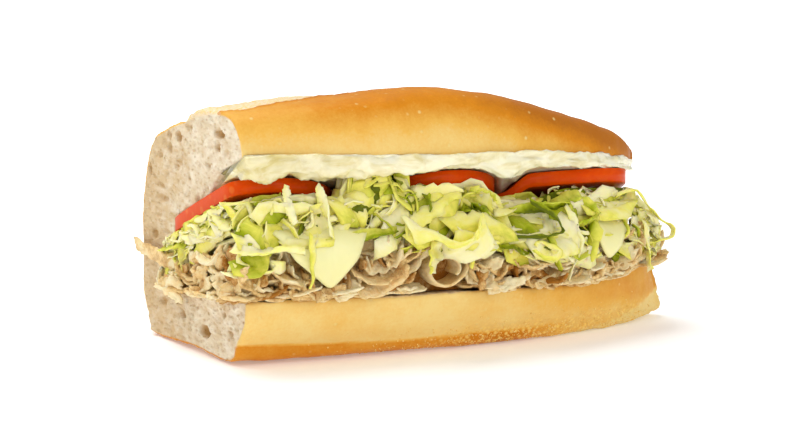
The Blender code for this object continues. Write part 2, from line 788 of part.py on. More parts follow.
def shred_grid(draw, index):
    """The middle of one shred: a curved ribbon that lies over the heap or hangs over its front."""
    x = blend(CUT_X + START_IN, SHRED_LAST_START, (index * SPREAD + draw.uniform(*SHRED_SCATTER)) % 1)
    hangs = index % HANGS_EVERY == 0
    s = bend_run(x) + draw.uniform(*(HANGING_PLACE if hangs else LYING_PLACE)) * MM
    tallest = SHRED_PEAK if abs(x - SHRED_PEAK_X) < SHRED_PEAK_HALF else SHRED_HIGH
    n = draw.uniform(SHRED_LOW, SHRED_HIGH if hangs else tallest)
    heading = draw.uniform(*(HANGING_HEADING if hangs else LYING_HEADING))
    bend, curl = draw.uniform(*SHRED_BEND), draw.uniform(*SHRED_CURL) * MM
    phase, twist = draw.uniform(0, 6), draw.uniform(*SHRED_TWIST)
    length = draw.uniform(*(HANGING_LENGTH if hangs else LYING_LENGTH)) * MM
    width = SHRED_WIDTH * draw.uniform(*SHRED_WIDTH_SHARE)
    points = []
    for i in range(SHRED_STEPS + 1):
        lift = max(n + curl * math.sin(phase + i * SHRED_CURL_STEP), SHRED_LEAST_LIFT)
        points.append(drape(x, max(s, SHRED_BACK), lift))
        x = clamp(x + math.cos(heading) * length / SHRED_STEPS, CUT_X, SHRED_END)
        s += math.sin(heading) * length / SHRED_STEPS
        heading += bend
    grid = []
    for i, point in enumerate(points):
        along = (points[min(i + 1, SHRED_STEPS)] - points[max(i - 1, 0)]).normalized()
        side = along.cross(Vector((0, SHRED_LEANS_BACK, 1))).normalized()
        angle = math.sin(phase) * SHRED_TILT + twist * i
        across = (side * math.cos(angle) + side.cross(along) * math.sin(angle)) * width / 2
        grid.append([point - across, point + across])
    return grid


def make_lettuce(others):
    draw = random.Random(SHRED_SEED)

    def floor_height(x, y):
        slope = (meat_top(x, SLOPE_FROM_Y) - meat_top(x, SLOPE_TO_Y)) / (SLOPE_TO_Y - SLOPE_FROM_Y)
        return meat_top(x, y) + LETTUCE_LIFT * math.hypot(1, slope)

    def top_height(x, y):
        return max(tomato_bottom(x, y) - LETTUCE_CORE_UNDER, floor_height(x, y) + LETTUCE_CORE_LEAST)

    core = core_solid(
        "lettuce_shreds",
        "lettuce",
        floor_height,
        top_height,
        lambda x: LETTUCE_BACK_Y - LETTUCE_BACK_SHIFT * clamp((x - CUT_X) / LETTUCE_BACK_RUN, 0, 1),
        LETTUCE_CORE_FRONT_IN,
        LETTUCE_CORE_CUT_IN,
        LETTUCE_CORE_END,
    )
    pieces = add_pieces(
        "shred", lambda index: shred_grid(draw, index), SHREDS, SHRED_THICK, core, others, "lettuce"
    )
    fuse(core, pieces)
    return core


def main():
    clear_scene()
    roll = make_roll()
    layers = [make_mayonnaise()]
    layers += [make_tomato(number, *sizes) for number, sizes in enumerate(TOMATOES, 1)]
    layers += [make_cheese(number, *sizes) for number, sizes in enumerate(CHEESES, 1)]
    trees = [tree_of(obj) for obj in [roll] + layers]
    inside = meat_core()
    lettuce = make_lettuce(trees + [tree_of(inside)])
    bpy.data.objects.remove(inside)
    make_meat(trees + [tree_of(lettuce)])


main()
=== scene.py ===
"""The looks of half a submarine sandwich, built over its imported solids.

Each operator makes one piece, or one group of like pieces, in the part's own frame: metres, +Z up,
the cut end towards -X and the open side towards -Y. The surfaces that place the layers are the ones that
the solids were made from.
"""

import math
import random

import bmesh
import bpy
import numpy as np
from mathutils import Euler, Matrix, Vector, noise
from mathutils.bvhtree import BVHTree


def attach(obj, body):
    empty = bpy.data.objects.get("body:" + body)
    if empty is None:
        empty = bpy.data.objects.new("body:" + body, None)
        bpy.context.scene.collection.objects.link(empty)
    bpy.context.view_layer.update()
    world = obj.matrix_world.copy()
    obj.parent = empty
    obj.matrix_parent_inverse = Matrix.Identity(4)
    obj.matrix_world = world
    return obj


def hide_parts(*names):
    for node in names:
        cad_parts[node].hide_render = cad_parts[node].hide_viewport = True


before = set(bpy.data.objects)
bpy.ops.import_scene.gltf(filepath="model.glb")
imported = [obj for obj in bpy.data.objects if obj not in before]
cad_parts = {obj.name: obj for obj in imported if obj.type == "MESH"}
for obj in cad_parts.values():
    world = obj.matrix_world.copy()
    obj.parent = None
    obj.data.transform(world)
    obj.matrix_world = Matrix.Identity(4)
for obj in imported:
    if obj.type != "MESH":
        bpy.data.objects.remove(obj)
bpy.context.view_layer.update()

bl_info = {
    "name": "Submarine sandwich",
    "version": (1, 0, 0),
    "blender": (4, 5, 0),
    "location": "View3D > Sidebar > Sandwich",
    "description": "Models half a submarine sandwich and the studio it stands in",
    "category": "Object",
}

MM = 0.001

# The roll, as in the part: its two ends along X, the slant of the cut, and the widest section's half width.
CUT_X = -91.6 * MM
CUT_SLANT = math.tan(math.radians(8))
TOP_TIP_X = 82 * MM
BOTTOM_TIP_X = 89 * MM
FLOOR_TIP_X = 95 * MM
HALF_WIDTH = 43.4 * MM
BELLY = 0.06
BELLY_POWER = 0.6
TAPER_POWER = 3.0
TAPER_ROUND = 0.65
TIP_WIDTH = 0.03
BLUNT_TIP = 0.09

# Heights along the roll, in mm: share of the length, then floor, lower lip, upper lip and crown.
ROLL_HEIGHTS = [
    (0.00, 0.0, 24.2, 73.5, 86.8), (0.15, 0.0, 24.0, 72.8, 89.4), (0.28, 0.0, 23.5, 71.6, 91.6),
    (0.39, 0.0, 23.0, 70.8, 93.6), (0.50, 0.0, 22.4, 69.8, 92.4), (0.61, 0.0, 21.5, 68.7, 88.9),
    (0.73, 0.0, 20.7, 66.8, 83.5), (0.85, 0.3, 21.2, 64.0, 77.5), (0.93, 1.2, 23.5, 62.0, 72.5),
    (1.00, 3.0, 26.0, 60.0, 65.0),
]  # fmt: skip
ROLL_STATIONS = [(at, *(v * MM for v in heights)) for at, *heights in ROLL_HEIGHTS]
FLOOR, LOWER_LIP, UPPER_LIP, CROWN = 1, 2, 3, 4

# The roll's closed outline: share of the half width, and level, where 0 is the floor, 1 the lower lip, 2 the
# upper lip and 3 the crown.
SECTION = [
    (-0.59, 0.00), (-0.83, 0.33), (-0.97, 0.70), (-1.00, 1.00), (-1.03, 1.50), (-0.954, 2.00),
    (-0.91, 2.45), (-0.77, 2.90), (-0.48, 3.00), (-0.19, 2.88), (0.14, 2.60), (0.49, 2.29),
    (0.80, 1.90), (0.97, 1.51), (1.00, 1.12), (0.995, 0.64), (0.86, 0.13), (0.66, 0.00),
]  # fmt: skip
SECTION_STEPS = 6
ROLL_RINGS = 110

# The slit that opens the roll: how far back it reaches, and the fall of its faces from the lips to there.
LIP_SHARE = 0.954
HINGE_Y = 27 * MM
HINGE_ROUND = 4 * MM
UPPER_FALL = 0.40
LOWER_FALL = 0.088
SLIT_FRONT_Y = -75 * MM
SLIT_ENDS = (-115 * MM, 115 * MM)
SLIT_RINGS = 96
SLIT_BACK_STEPS = 8

# Layers, from the upper cut face down. The room for the mayonnaise is given along X, in mm.
GAP = 0.4 * MM
X_AND_ROOM = ((-100, 5.6), (-65, 5.6), (-42, 6), (-28, 4.2), (-9, 3.4), (12, 3.4), (30, 3.2),
              (60, 2.6), (100, 2.6))  # fmt: skip
MAYO_ROOMS = [(x * MM, room * MM) for x, room in X_AND_ROOM]
MAYO_ROOM_MEAN = 4.5 * MM
TOMATO_THICK = 5.6 * MM
TOMATO_SAG = 5.6 * MM
TOMATO_SAG_FROM = 18.5 * MM
TOMATO_SAG_TO = 29 * MM
TOMATO_LEAN = 0.2
UNDER_SAG_TO = 44 * MM
OVERLAP_X = 20 * MM
CHEESE_THICK = 1.6 * MM
CHEESE_LIFT = 2.5 * MM
CHEESE_LEVEL = 0.55
LETTUCE_LIFT = 4.9 * MM

# The filling's outer edge in plan, a little blunter than the roll.
FILLING_TIP_X = 96 * MM
FILLING_HALF = 43.8 * MM
FILLING_BELLY = 0.04
FILLING_POWER = 3.4
FILLING_ROUND = 0.75
BACK_INSET = 5 * MM
DRAPE_BACK_Y = 21 * MM
DRAPE_SETBACK = 4.5 * MM
DRAPE_RADIUS = 6 * MM

# Tomato slices: centre x and y, radius along X and Y, how far the end under its neighbour hangs, and how far
# that end leans to the front.
TOMATOES = [
    (-72 * MM, -7 * MM, 30 * MM, 31 * MM, 0, 0),
    (-8 * MM, -7.4 * MM, 26.5 * MM, 29 * MM, 0, 0),
    (44 * MM, -0.8 * MM, 33 * MM, 23.5 * MM, TOMATO_SAG, TOMATO_LEAN),
]

# Cheese slices: centre x, centre run from the hinge, side and turn of the square, and layer.
CHEESES = [
    (-78 * MM, 38 * MM, 42 * MM, 4, 0),
    (-61 * MM, 44 * MM, 58 * MM, 41, 1),
    (3 * MM, 35 * MM, 57 * MM, 50, 0),
    (51 * MM, 32 * MM, 44 * MM, 38, 1),
]

# The slice of meat that is rolled up at the front.
MEAT_ROLL = (-14 * MM, -47.5 * MM, 31.5 * MM)

# Bubbles in the cut crumb that are large enough to see one by one, in mm: y, z, radius along Y, radius along
# Z, depth.
BUBBLES = [
    (9.7, 75.5, 2.7, 2.1, 2.4), (-23.0, 79.2, 4.2, 1.7, 2.4), (-21.7, 74.7, 2.1, 1.7, 2.0),
    (17.4, 70.7, 2.3, 2.1, 1.8), (17.3, 75.6, 2.2, 1.2, 1.4), (34.9, 61.7, 1.5, 2.3, 2.0),
    (9.5, 66.5, 3.1, 1.4, 1.1), (1.2, 79.6, 3.5, 0.9, 0.9), (-14.4, 68.6, 2.0, 0.9, 1.2),
    (1.2, 63.3, 1.8, 0.9, 1.1), (-6.0, 59.2, 2.7, 1.4, 1.4), (-13.0, 63.3, 1.8, 1.0, 1.0),
    (-10.1, 8.4, 4.2, 2.6, 4.0), (30.0, 52.0, 2.0, 1.6, 1.3), (33.0, 38.0, 1.6, 2.0, 1.6),
    (25.0, 14.0, 3.4, 1.6, 2.0), (8.0, 12.0, 2.8, 1.5, 2.2), (-30.0, 11.0, 2.2, 1.2, 1.4),
    (-25.0, 17.0, 2.2, 1.1, 1.5),
]  # fmt: skip


def rgb(red, green, blue):
    """A linear colour from the 0 to 255 values that a screen shows."""
    shown = (red, green, blue)
    return tuple(((v / 255 + 0.055) / 1.055) ** 2.4 if v > 10 else v / 255 / 12.92 for v in shown)


def colour_prop(name, description, value):
    return bpy.props.FloatVectorProperty(
        name=name, description=description, default=value, size=3, min=0, max=1, subtype="COLOR"
    )


def length_prop(name, description, value):
    return bpy.props.FloatProperty(name=name, description=description, default=value, min=0, unit="LENGTH")


def strength_prop(name, description, value):
    return bpy.props.FloatProperty(name=name, description=description, default=value, min=0)


def count_prop(name, description, value):
    return bpy.props.IntProperty(name=name, description=description, default=value, min=1)


class SandwichRoll(bpy.types.PropertyGroup):
    mesh_size: length_prop("Mesh size", "Size of the roll's mesh cells", 1.3 * MM)
    crust_pale: colour_prop("Pale crust", "Crust along the lips", rgb(238, 208, 132))
    crust_golden: colour_prop("Golden crust", "Crust on the sides", rgb(233, 180, 82))
    crust_deep: colour_prop("Deep crust", "Crust on the crest and the tip", rgb(213, 134, 28))
    crust_brown: colour_prop("Brown crust", "Crust that touched the baking tray", rgb(180, 106, 24))
    crumb: colour_prop("Crumb", "Inside of the roll", rgb(240, 229, 206))
    # Painted shade: the colour painted into the crumb's bubbles and pores.
    crumb_pit_shade: colour_prop("Crumb pores", "Walls of the bubbles in the crumb", rgb(196, 156, 100))


class SandwichSpread(bpy.types.PropertyGroup):
    colour: colour_prop("Mayonnaise", "Colour of the mayonnaise", rgb(247, 240, 206))
    proud: length_prop("Stands out", "How far the mayonnaise passes the upper lip", 1.0 * MM)


class SandwichTomato(bpy.types.PropertyGroup):
    skin: colour_prop("Skin", "Rim of each slice", rgb(218, 70, 0))
    flesh: colour_prop("Flesh", "Faces of each slice", rgb(212, 76, 8))
    seeds: colour_prop("Seeds", "Seeds and the jelly round them", rgb(226, 150, 70))


class SandwichCheese(bpy.types.PropertyGroup):
    colour: colour_prop("Cheese", "Colour of the cheese slices", rgb(246, 239, 176))
    thickness: length_prop("Thickness", "Thickness of a cheese slice", CHEESE_THICK)


class SandwichLettuce(bpy.types.PropertyGroup):
    shreds: count_prop("Shreds", "Number of lettuce shreds", 380)
    pale: colour_prop("Ribs", "Thick pale parts of the leaf", rgb(250, 244, 188))
    yellow: colour_prop("Inner leaf", "Yellow-green parts of the leaf", rgb(240, 232, 104))
    green: colour_prop("Outer leaf", "Green edge of the leaf", rgb(162, 172, 16))


class SandwichMeat(bpy.types.PropertyGroup):
    flakes: count_prop("Flakes", "Number of shaved flakes", 460)
    pale: colour_prop("Pale meat", "Lean parts of a flake", rgb(252, 236, 192))
    # Brown meat is also the painted shade of the heap's core, seen in the gaps between the flakes.
    brown_and_shade: colour_prop("Brown meat", "Roasted edges of a flake", rgb(172, 112, 38))


class SandwichCornmeal(bpy.types.PropertyGroup):
    grains: count_prop("Grains", "Number of cornmeal grains", 900)
    pale: colour_prop("Pale grains", "Lightest colour of the cornmeal", rgb(250, 222, 140))
    golden: colour_prop("Golden grains", "Darkest colour of the cornmeal", rgb(226, 170, 60))


class SandwichStage(bpy.types.PropertyGroup):
    floor: colour_prop("Floor", "Colour of the floor", (0.93, 0.93, 0.93))
    surround: strength_prop("Surround", "Strength of the white surround", 0.42)
    floor_glow: strength_prop("Floor glow", "Light from the floor itself", 0.22)
    key_power: strength_prop("Key", "Power of the large light above", 13)
    fill_power: strength_prop("Fill", "Power of the light in front", 9)


# Places and surfaces, as in the part.


def blend(a, b, t):
    return a + (b - a) * t


def clamp(value, low, high):
    return min(max(value, low), high)


def ease(t):
    """A smooth step, for numbers and arrays that run from 0 to 1."""
    return t * t * (3 - 2 * t)


def smooth(low, high, value):
    """0 below low, 1 above high and a smooth step between, for numbers and arrays."""
    return ease(np.clip((value - low) / (high - low), 0, 1))


def cut_x(y):
    """The cut's x at this y."""
    return CUT_X - y * CUT_SLANT


def share(x, tip):
    """0 at the cut and 1 at the tip."""
    return clamp((x - CUT_X) / (tip - CUT_X), 0, 1)


def taper(u):
    """Width of the roll at a share of its length, against the cut's."""
    belly = 1 + BELLY * math.sin(math.pi * u**BELLY_POWER)
    return max(belly * (1 - u**TAPER_POWER) ** TAPER_ROUND, TIP_WIDTH)


def height(u, column):
    """A height from ROLL_STATIONS, on a smooth curve."""
    last = len(ROLL_STATIONS) - 1
    i = max(k for k in range(last) if ROLL_STATIONS[k][0] <= u)
    before, a, b, after = (ROLL_STATIONS[clamp(k, 0, last)] for k in (i - 1, i, i + 1, i + 2))
    span = b[0] - a[0]
    t = (u - a[0]) / span
    rise_a = (b[column] - before[column]) / (b[0] - before[0]) * span
    rise_b = (after[column] - a[column]) / (after[0] - a[0]) * span
    t2, t3 = t * t, t * t * t
    from_a = (2 * t3 - 3 * t2 + 1) * a[column] + (t3 - 2 * t2 + t) * rise_a
    return from_a + (3 * t2 - 2 * t3) * b[column] + (t3 - t2) * rise_b


def level_height(u, level):
    """Height of a level of the section: 0 floor, 1 lower lip, 2 upper lip, 3 crown."""
    i = min(int(level), 2)
    return blend(height(u, FLOOR + i), height(u, FLOOR + i + 1), level - i)


def tip_x(level):
    """The roll's end at a level."""
    if level <= 1:
        return blend(FLOOR_TIP_X, BOTTOM_TIP_X, level)
    return blend(BOTTOM_TIP_X, TOP_TIP_X, min(level - 1, 1))


def on_curve(a, b, c, d, t):
    """The point at t on a smooth curve from b to c, whose neighbours are a and d."""
    bend = (2 * a - 5 * b + 4 * c - d) * t * t + (3 * b - a - 3 * c + d) * t**3
    return 0.5 * (2 * b + (c - a) * t + bend)


def spline(points, steps):
    """A closed smooth curve through the points."""
    made = []
    for i in range(len(points)):
        near = [points[(i + k) % len(points)] for k in (-1, 0, 1, 2)]
        made += [tuple(on_curve(*values, step / steps) for values in zip(*near)) for step in range(steps)]
    return made


def lip_y(x):
    """The y of the upper lip."""
    return -LIP_SHARE * HALF_WIDTH * taper(share(x, TOP_TIP_X))


def upper_cut(x, y):
    """Height of the upper jaw's cut face."""
    return height(share(x, TOP_TIP_X), UPPER_LIP) - UPPER_FALL * (y - lip_y(x))


def lower_cut(x, y):
    """Height of the lower jaw's cut face."""
    u = share(x, BOTTOM_TIP_X)
    return height(u, LOWER_LIP) - LOWER_FALL * (y + HALF_WIDTH * taper(u))


def mayo_room(x):
    """Height left for the mayonnaise."""
    x = clamp(x, MAYO_ROOMS[0][0], MAYO_ROOMS[-1][0])
    for (x0, room0), (x1, room1) in zip(MAYO_ROOMS, MAYO_ROOMS[1:]):
        if x <= x1:
            return blend(room0, room1, ease((x - x0) / (x1 - x0)))


def tomato_top(x, y, sag=0.0, sag_to=TOMATO_SAG_TO):
    """Height of the tomato layer; a slice that hangs under its neighbour passes its sag."""
    t = clamp((sag_to - x) / (sag_to - TOMATO_SAG_FROM), 0, 1)
    return upper_cut(x, y) - mayo_room(x) - sag * t * t * (3 - 2 * t)


def tomato_bottom(x, y):
    """Height that the lettuce stays under, where two slices overlap too."""
    overlap = TOMATO_SAG if x > TOMATO_SAG_FROM - OVERLAP_X else 0
    return tomato_top(x, y, overlap, UNDER_SAG_TO) - TOMATO_THICK


def meat_top(x, y):
    """Height of the surface that the cheese lies on."""
    return blend(lower_cut(x, y), upper_cut(x, y) - MAYO_ROOM_MEAN - TOMATO_THICK, CHEESE_LEVEL)


def filling_front(x):
    """The y of the filling's outer edge."""
    v = clamp((x - CUT_X) / (FILLING_TIP_X - CUT_X), 0, 1)
    belly = 1 + FILLING_BELLY * math.sin(math.pi * v)
    return -FILLING_HALF * belly * (1 - v**FILLING_POWER) ** FILLING_ROUND


def filling_back(x, furthest):
    """The y of a layer's back edge, inside the roll's back by the tip."""
    return min(furthest, HALF_WIDTH * taper(share(x, TOP_TIP_X)) - BACK_INSET)


def drape(x, s, n):
    """The point s along the meat heap's outline and n off it, from the hinge over the front edge and down."""
    bend_y = filling_front(x) + DRAPE_SETBACK
    back = Vector((DRAPE_BACK_Y, meat_top(x, DRAPE_BACK_Y)))
    bend = Vector((bend_y, meat_top(x, bend_y)))
    run = (bend - back).length
    tilt = math.atan2(bend.y - back.y, back.x - bend.x)
    normal = Vector((math.sin(tilt), math.cos(tilt)))
    if s <= run:
        return Vector((x, *(back.lerp(bend, s / run) + normal * n)))
    turn = (s - run) / DRAPE_RADIUS
    most = math.pi / 2 + tilt
    angle = tilt - min(turn, most)
    point = bend - DRAPE_RADIUS * normal + Vector((math.sin(angle), math.cos(angle))) * (DRAPE_RADIUS + n)
    return Vector((x, point.x, point.y - max(turn - most, 0) * DRAPE_RADIUS))


def bend_run(x):
    """How far along drape() the front edge's bend starts."""
    bend_y = filling_front(x) + DRAPE_SETBACK
    rise = meat_top(x, bend_y) - meat_top(x, DRAPE_BACK_Y)
    return math.hypot(DRAPE_BACK_Y - bend_y, rise)


# Meshes.


def select_only(obj):
    bpy.ops.object.select_all(action="DESELECT")
    obj.select_set(True)
    bpy.context.view_layer.objects.active = obj


def add_object(name, vertices, faces):
    """A mesh object whose faces point outwards."""
    mesh = bpy.data.meshes.new(name)
    mesh.from_pydata([tuple(v) for v in vertices], [], faces)
    mesh.validate()
    bm = bmesh.new()
    bm.from_mesh(mesh)
    bmesh.ops.recalc_face_normals(bm, faces=bm.faces)
    bm.to_mesh(mesh)
    bm.free()
    obj = bpy.data.objects.new(name, mesh)
    bpy.context.scene.collection.objects.link(obj)
    select_only(obj)
    return obj


def start_editing(obj, kind):
    """Opens the object in edit mode, picking by vertex, edge or face."""
    select_only(obj)
    bpy.ops.object.mode_set(mode="EDIT")
    bpy.ops.mesh.select_mode(type=kind)


def pick(obj, part, test):
    """In edit mode, selects only the faces or edges that pass the test."""
    bpy.ops.mesh.select_all(action="DESELECT")
    bm = bmesh.from_edit_mesh(obj.data)
    for item in getattr(bm, part):
        item.select_set(test(item))
    bmesh.update_edit_mesh(obj.data)


def apply_modifier(obj, kind, **settings):
    """Adds a modifier and applies it."""
    select_only(obj)
    made = obj.modifiers.new(kind.lower(), kind)
    for key, value in settings.items():
        setattr(made, key, value)
    bpy.ops.object.modifier_apply(modifier=made.name)


def loft(rings):
    """A closed solid through rings of points, its two ends filled."""
    size = len(rings[0])
    vertices = [p for ring in rings for p in ring]
    faces = []
    for i in range(len(rings) - 1):
        for j in range(size):
            k = (j + 1) % size
            a, b = i * size, (i + 1) * size
            faces.append((a + j, a + k, b + k, b + j))
    faces.append(tuple(range(size)))
    faces.append(tuple((len(rings) - 1) * size + j for j in range(size)))
    return vertices, faces


def grid_of(rows, columns, place):
    """Rows of what place(row, column) gives."""
    return [[place(i, j) for j in range(columns)] for i in range(rows)]


def grid_cells(rows, columns):
    """For each cell of a grid, the numbers of its first points in its two rows."""
    return [(i * columns + j, (i + 1) * columns + j) for i in range(rows - 1) for j in range(columns - 1)]


def slab(upper, lower):
    """A thin closed solid between two grids of points."""
    rows, columns = len(upper), len(upper[0])
    under = rows * columns
    faces = []
    for a, b in grid_cells(rows, columns):
        faces += [(a, a + 1, b + 1, b), (under + b, under + b + 1, under + a + 1, under + a)]
    edge = list(range(columns))
    edge += [i * columns + columns - 1 for i in range(1, rows)]
    edge += [(rows - 1) * columns + j for j in range(columns - 2, -1, -1)]
    edge += [i * columns for i in range(rows - 2, 0, -1)]
    faces += [(a, under + a, under + b, b) for a, b in zip(edge, edge[1:] + edge[:1])]
    return [p for row in upper + lower for p in row], faces


def thick_grid(grid, thick, edge):
    """Two grids either side of one; edge is the share of the thickness left along the border."""
    rows, columns = len(grid), len(grid[0])

    def half(i, j):
        along = grid[min(i + 1, rows - 1)][j] - grid[max(i - 1, 0)][j]
        across = grid[i][min(j + 1, columns - 1)] - grid[i][max(j - 1, 0)]
        border = i in (0, rows - 1) or j in (0, columns - 1)
        return along.cross(across).normalized() * (thick / 2 * (edge if border else 1))

    halves = grid_of(rows, columns, half)
    upper = grid_of(rows, columns, lambda i, j: grid[i][j] + halves[i][j])
    return upper, grid_of(rows, columns, lambda i, j: grid[i][j] - halves[i][j])


CORE_COLUMNS, CORE_ROWS = 48, 16


def core_solid(name, low, high, back_y, front_in, start_in, end_x):
    """The plain inside of a heap, between two heights."""

    def level(surface):
        def place(i, j):
            x = blend(CUT_X, end_x, j / (CORE_COLUMNS - 1))
            y = blend(filling_front(x) + front_in, back_y(x), i / (CORE_ROWS - 1))
            x = cut_x(y) + start_in if j == 0 else x
            return Vector((x, y, surface(x, y)))

        return grid_of(CORE_ROWS, CORE_COLUMNS, place)

    return add_object(name, *slab(level(high), level(low)))


def tree_of(obj):
    """A search tree over the object's triangles."""
    mesh = obj.data
    mesh.calc_loop_triangles()
    points = [v.co for v in mesh.vertices]
    return BVHTree.FromPolygons(points, [tuple(t.vertices) for t in mesh.loop_triangles])


def trees_of(*names):
    """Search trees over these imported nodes."""
    return [tree_of(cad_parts[name]) for name in names]


def grid_tree(grid):
    """A search tree over a grid's triangles."""
    cells = grid_cells(len(grid), len(grid[0]))
    faces = [face for a, b in cells for face in ((a, a + 1, b + 1), (a, b + 1, b))]
    return BVHTree.FromPolygons([p for row in grid for p in row], faces)


def read_vectors(items, name):
    made = np.empty(len(items) * 3)
    items.foreach_get(name, made)
    return made.reshape(-1, 3)


def coordinates(mesh):
    return read_vectors(mesh.vertices, "co")


def normals(mesh):
    return read_vectors(mesh.vertex_normals, "vector")


def set_coordinates(mesh, points):
    mesh.vertices.foreach_set("co", np.ascontiguousarray(points, dtype=np.float32).ravel())
    mesh.update()


def paint(mesh, name, values):
    """Stores one number a vertex, for the material."""
    layer = mesh.attributes.new(name, "FLOAT", "POINT")
    layer.data.foreach_set("value", np.ascontiguousarray(values, dtype=np.float32))


def lumps(points, size, octaves=3, seed=0.0):
    """Smooth noise from about -1 to 1 at each point, its largest lumps this size."""
    shift = Vector((seed * 7.3, seed * 3.1, seed * 5.7))
    return np.array([noise.fractal(Vector(p) / size + shift, 1.0, 2.0, octaves) for p in points])


# Materials.


def add_node(tree, kind, inputs=None, **settings):
    """A shader node; an input that is a socket is linked, and anything else is its value."""
    made = tree.nodes.new(kind)
    for key, value in settings.items():
        setattr(made, key, value)
    for key, value in (inputs or {}).items():
        if isinstance(value, bpy.types.NodeSocket):
            tree.links.new(value, made.inputs[key])
        else:
            made.inputs[key].default_value = value
    return made


def wire(shader, socket, value):
    shader.id_data.links.new(value, shader.inputs[socket])


def new_material(name, roughness, soft=None, **sockets):
    """A Principled material; soft gives the weight, scale and radius of the light that spreads inside it."""
    made = bpy.data.materials.new(name)
    made.use_nodes = True
    shader = made.node_tree.nodes["Principled BSDF"]
    if soft:
        sockets.update(zip(("Subsurface_Weight", "Subsurface_Scale", "Subsurface_Radius"), soft))
    for key, value in {"Roughness": roughness, **sockets}.items():
        shader.inputs[key.replace("_", " ")].default_value = value
    return made, made.node_tree, shader


def object_points(tree, scale=(1, 1, 1)):
    coordinate = add_node(tree, "ShaderNodeTexCoord").outputs["Object"]
    return add_node(tree, "ShaderNodeMapping", {"Vector": coordinate, "Scale": scale}).outputs["Vector"]


def noise_at(tree, points, scale, detail=3, rough=0.5, distortion=0):
    sockets = {"Vector": points, "Scale": scale, "Detail": detail}
    sockets.update({"Roughness": rough, "Distortion": distortion})
    return add_node(tree, "ShaderNodeTexNoise", sockets).outputs["Fac"]


def cells_at(tree, points, scale):
    sockets = {"Vector": points, "Scale": scale}
    return add_node(tree, "ShaderNodeTexVoronoi", sockets).outputs["Distance"]


def number(tree, operation, a, b=0.0, limit=False):
    made = add_node(tree, "ShaderNodeMath", {0: a, 1: b, 2: 0.0}, operation=operation, use_clamp=limit)
    return made.outputs[0]


def remap(tree, value, low, high, to_low=0.0, to_high=1.0):
    sockets = {"Value": value, "From Min": low, "From Max": high, "To Min": to_low, "To Max": to_high}
    return add_node(tree, "ShaderNodeMapRange", sockets).outputs["Result"]


def mix_colour(tree, share_of_b, a, b):
    colours = {6: a, 7: b}
    for index, value in colours.items():
        colours[index] = value if isinstance(value, bpy.types.NodeSocket) else (*value, 1)
    return add_node(tree, "ShaderNodeMix", {0: share_of_b, **colours}, data_type="RGBA").outputs[2]


def ramp(tree, value, stops):
    """A colour ramp from (place, colour) stops."""
    made = add_node(tree, "ShaderNodeValToRGB", {"Fac": value})
    elements = made.color_ramp.elements
    while len(elements) < len(stops):
        elements.new(0.5)
    for element, (place, colour) in zip(elements, stops):
        element.position = place
        element.color = (*colour, 1)
    return made.outputs["Color"]


def painted(tree, name):
    return add_node(tree, "ShaderNodeAttribute", attribute_name=name).outputs["Fac"]


def bump(tree, shader, value, strength, distance):
    sockets = {"Height": value, "Strength": strength, "Distance": distance}
    wire(shader, "Normal", add_node(tree, "ShaderNodeBump", sockets).outputs["Normal"])


def finish_piece(obj, slot, made, *nodes):
    """Gives a finished piece its material and its body, and hides the nodes that it stands for."""
    obj.data.materials.clear()
    obj.data.materials.append(made)
    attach(obj, "root")
    if nodes:
        select_only(obj)
        bpy.ops.object.shade_smooth()
        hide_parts(*nodes)


# The roll.


def roll_rings():
    """The closed roll before it is slit: rings from the cut to the tip."""
    outline = [(side, max(level, 0)) for side, level in spline(SECTION, SECTION_STEPS)]
    rings = []
    for i in range(ROLL_RINGS + 1):
        u = math.sin(math.pi / 2 * i / ROLL_RINGS) ** 1.15
        ring = []
        for side, level in outline:
            y = side * HALF_WIDTH * max(taper(u), BLUNT_TIP)
            ring.append(Vector((blend(cut_x(y), tip_x(level), u), y, level_height(u, level))))
        rings.append(ring)
    return rings


def slit_rings():
    """The wedge that opens the roll, with a rounded back."""
    back = HINGE_Y - HINGE_ROUND
    rings = []
    for i in range(SLIT_RINGS + 1):
        x = blend(*SLIT_ENDS, i / SLIT_RINGS)
        top, bottom = upper_cut(x, back), lower_cut(x, back)
        ring = [Vector((x, SLIT_FRONT_Y, cut(x, SLIT_FRONT_Y))) for cut in (lower_cut, upper_cut)]
        for step in range(SLIT_BACK_STEPS + 1):
            bulge = HINGE_ROUND * math.sin(math.pi * step / SLIT_BACK_STEPS)
            ring.append(Vector((x, back + bulge, blend(top, bottom, step / SLIT_BACK_STEPS))))
        rings.append(ring)
    return rings


def skin_depth(points, rings):
    """How deep each point lies under the closed roll's skin."""
    vertices, faces = loft(rings)
    skin = BVHTree.FromPolygons(vertices, faces[:-2] + faces[-1:])
    return np.array([skin.find_nearest(p)[3] for p in points.tolist()])


def crown_share(points):
    """For each point, 0 at the floor and 1 at the crown of its own part of the roll."""
    tops = np.array([height(u, CROWN) for u in np.linspace(0, 1, 65)])
    u = np.clip((points[:, 0] - CUT_X) / (TOP_TIP_X - CUT_X), 0, 1)
    return points[:, 2] / np.interp(u, np.linspace(0, 1, 65), tops)


# The pale strip where the top split open in the oven, in mm: x, its front edge's y, its back edge's y.
SPLIT = np.array(
    [(-94, -16, 6), (-88, -24, 6), (-80, -28, 6.5), (-70, -26, 7), (-58, -21, 7), (-42, -15, 7),
     (-15, -10, 6), (20, -5, 5), (50, 0, 4), (64, 2, 2.5)]
) * MM  # fmt: skip


def split_edges(points, wander):
    """For each point, the distances inside the strip's front and back edges, and 1 on the top of the roll."""
    x, y, z = points.T
    front = np.interp(x, SPLIT[:, 0], SPLIT[:, 1]) + 1.0 * MM * wander
    back = np.interp(x, SPLIT[:, 0], SPLIT[:, 2]) + 1.2 * MM * wander
    on_top = smooth(60 * MM, 66 * MM, z) * (1 - smooth(56 * MM, 64 * MM, x))
    return y - front, back - y, on_top


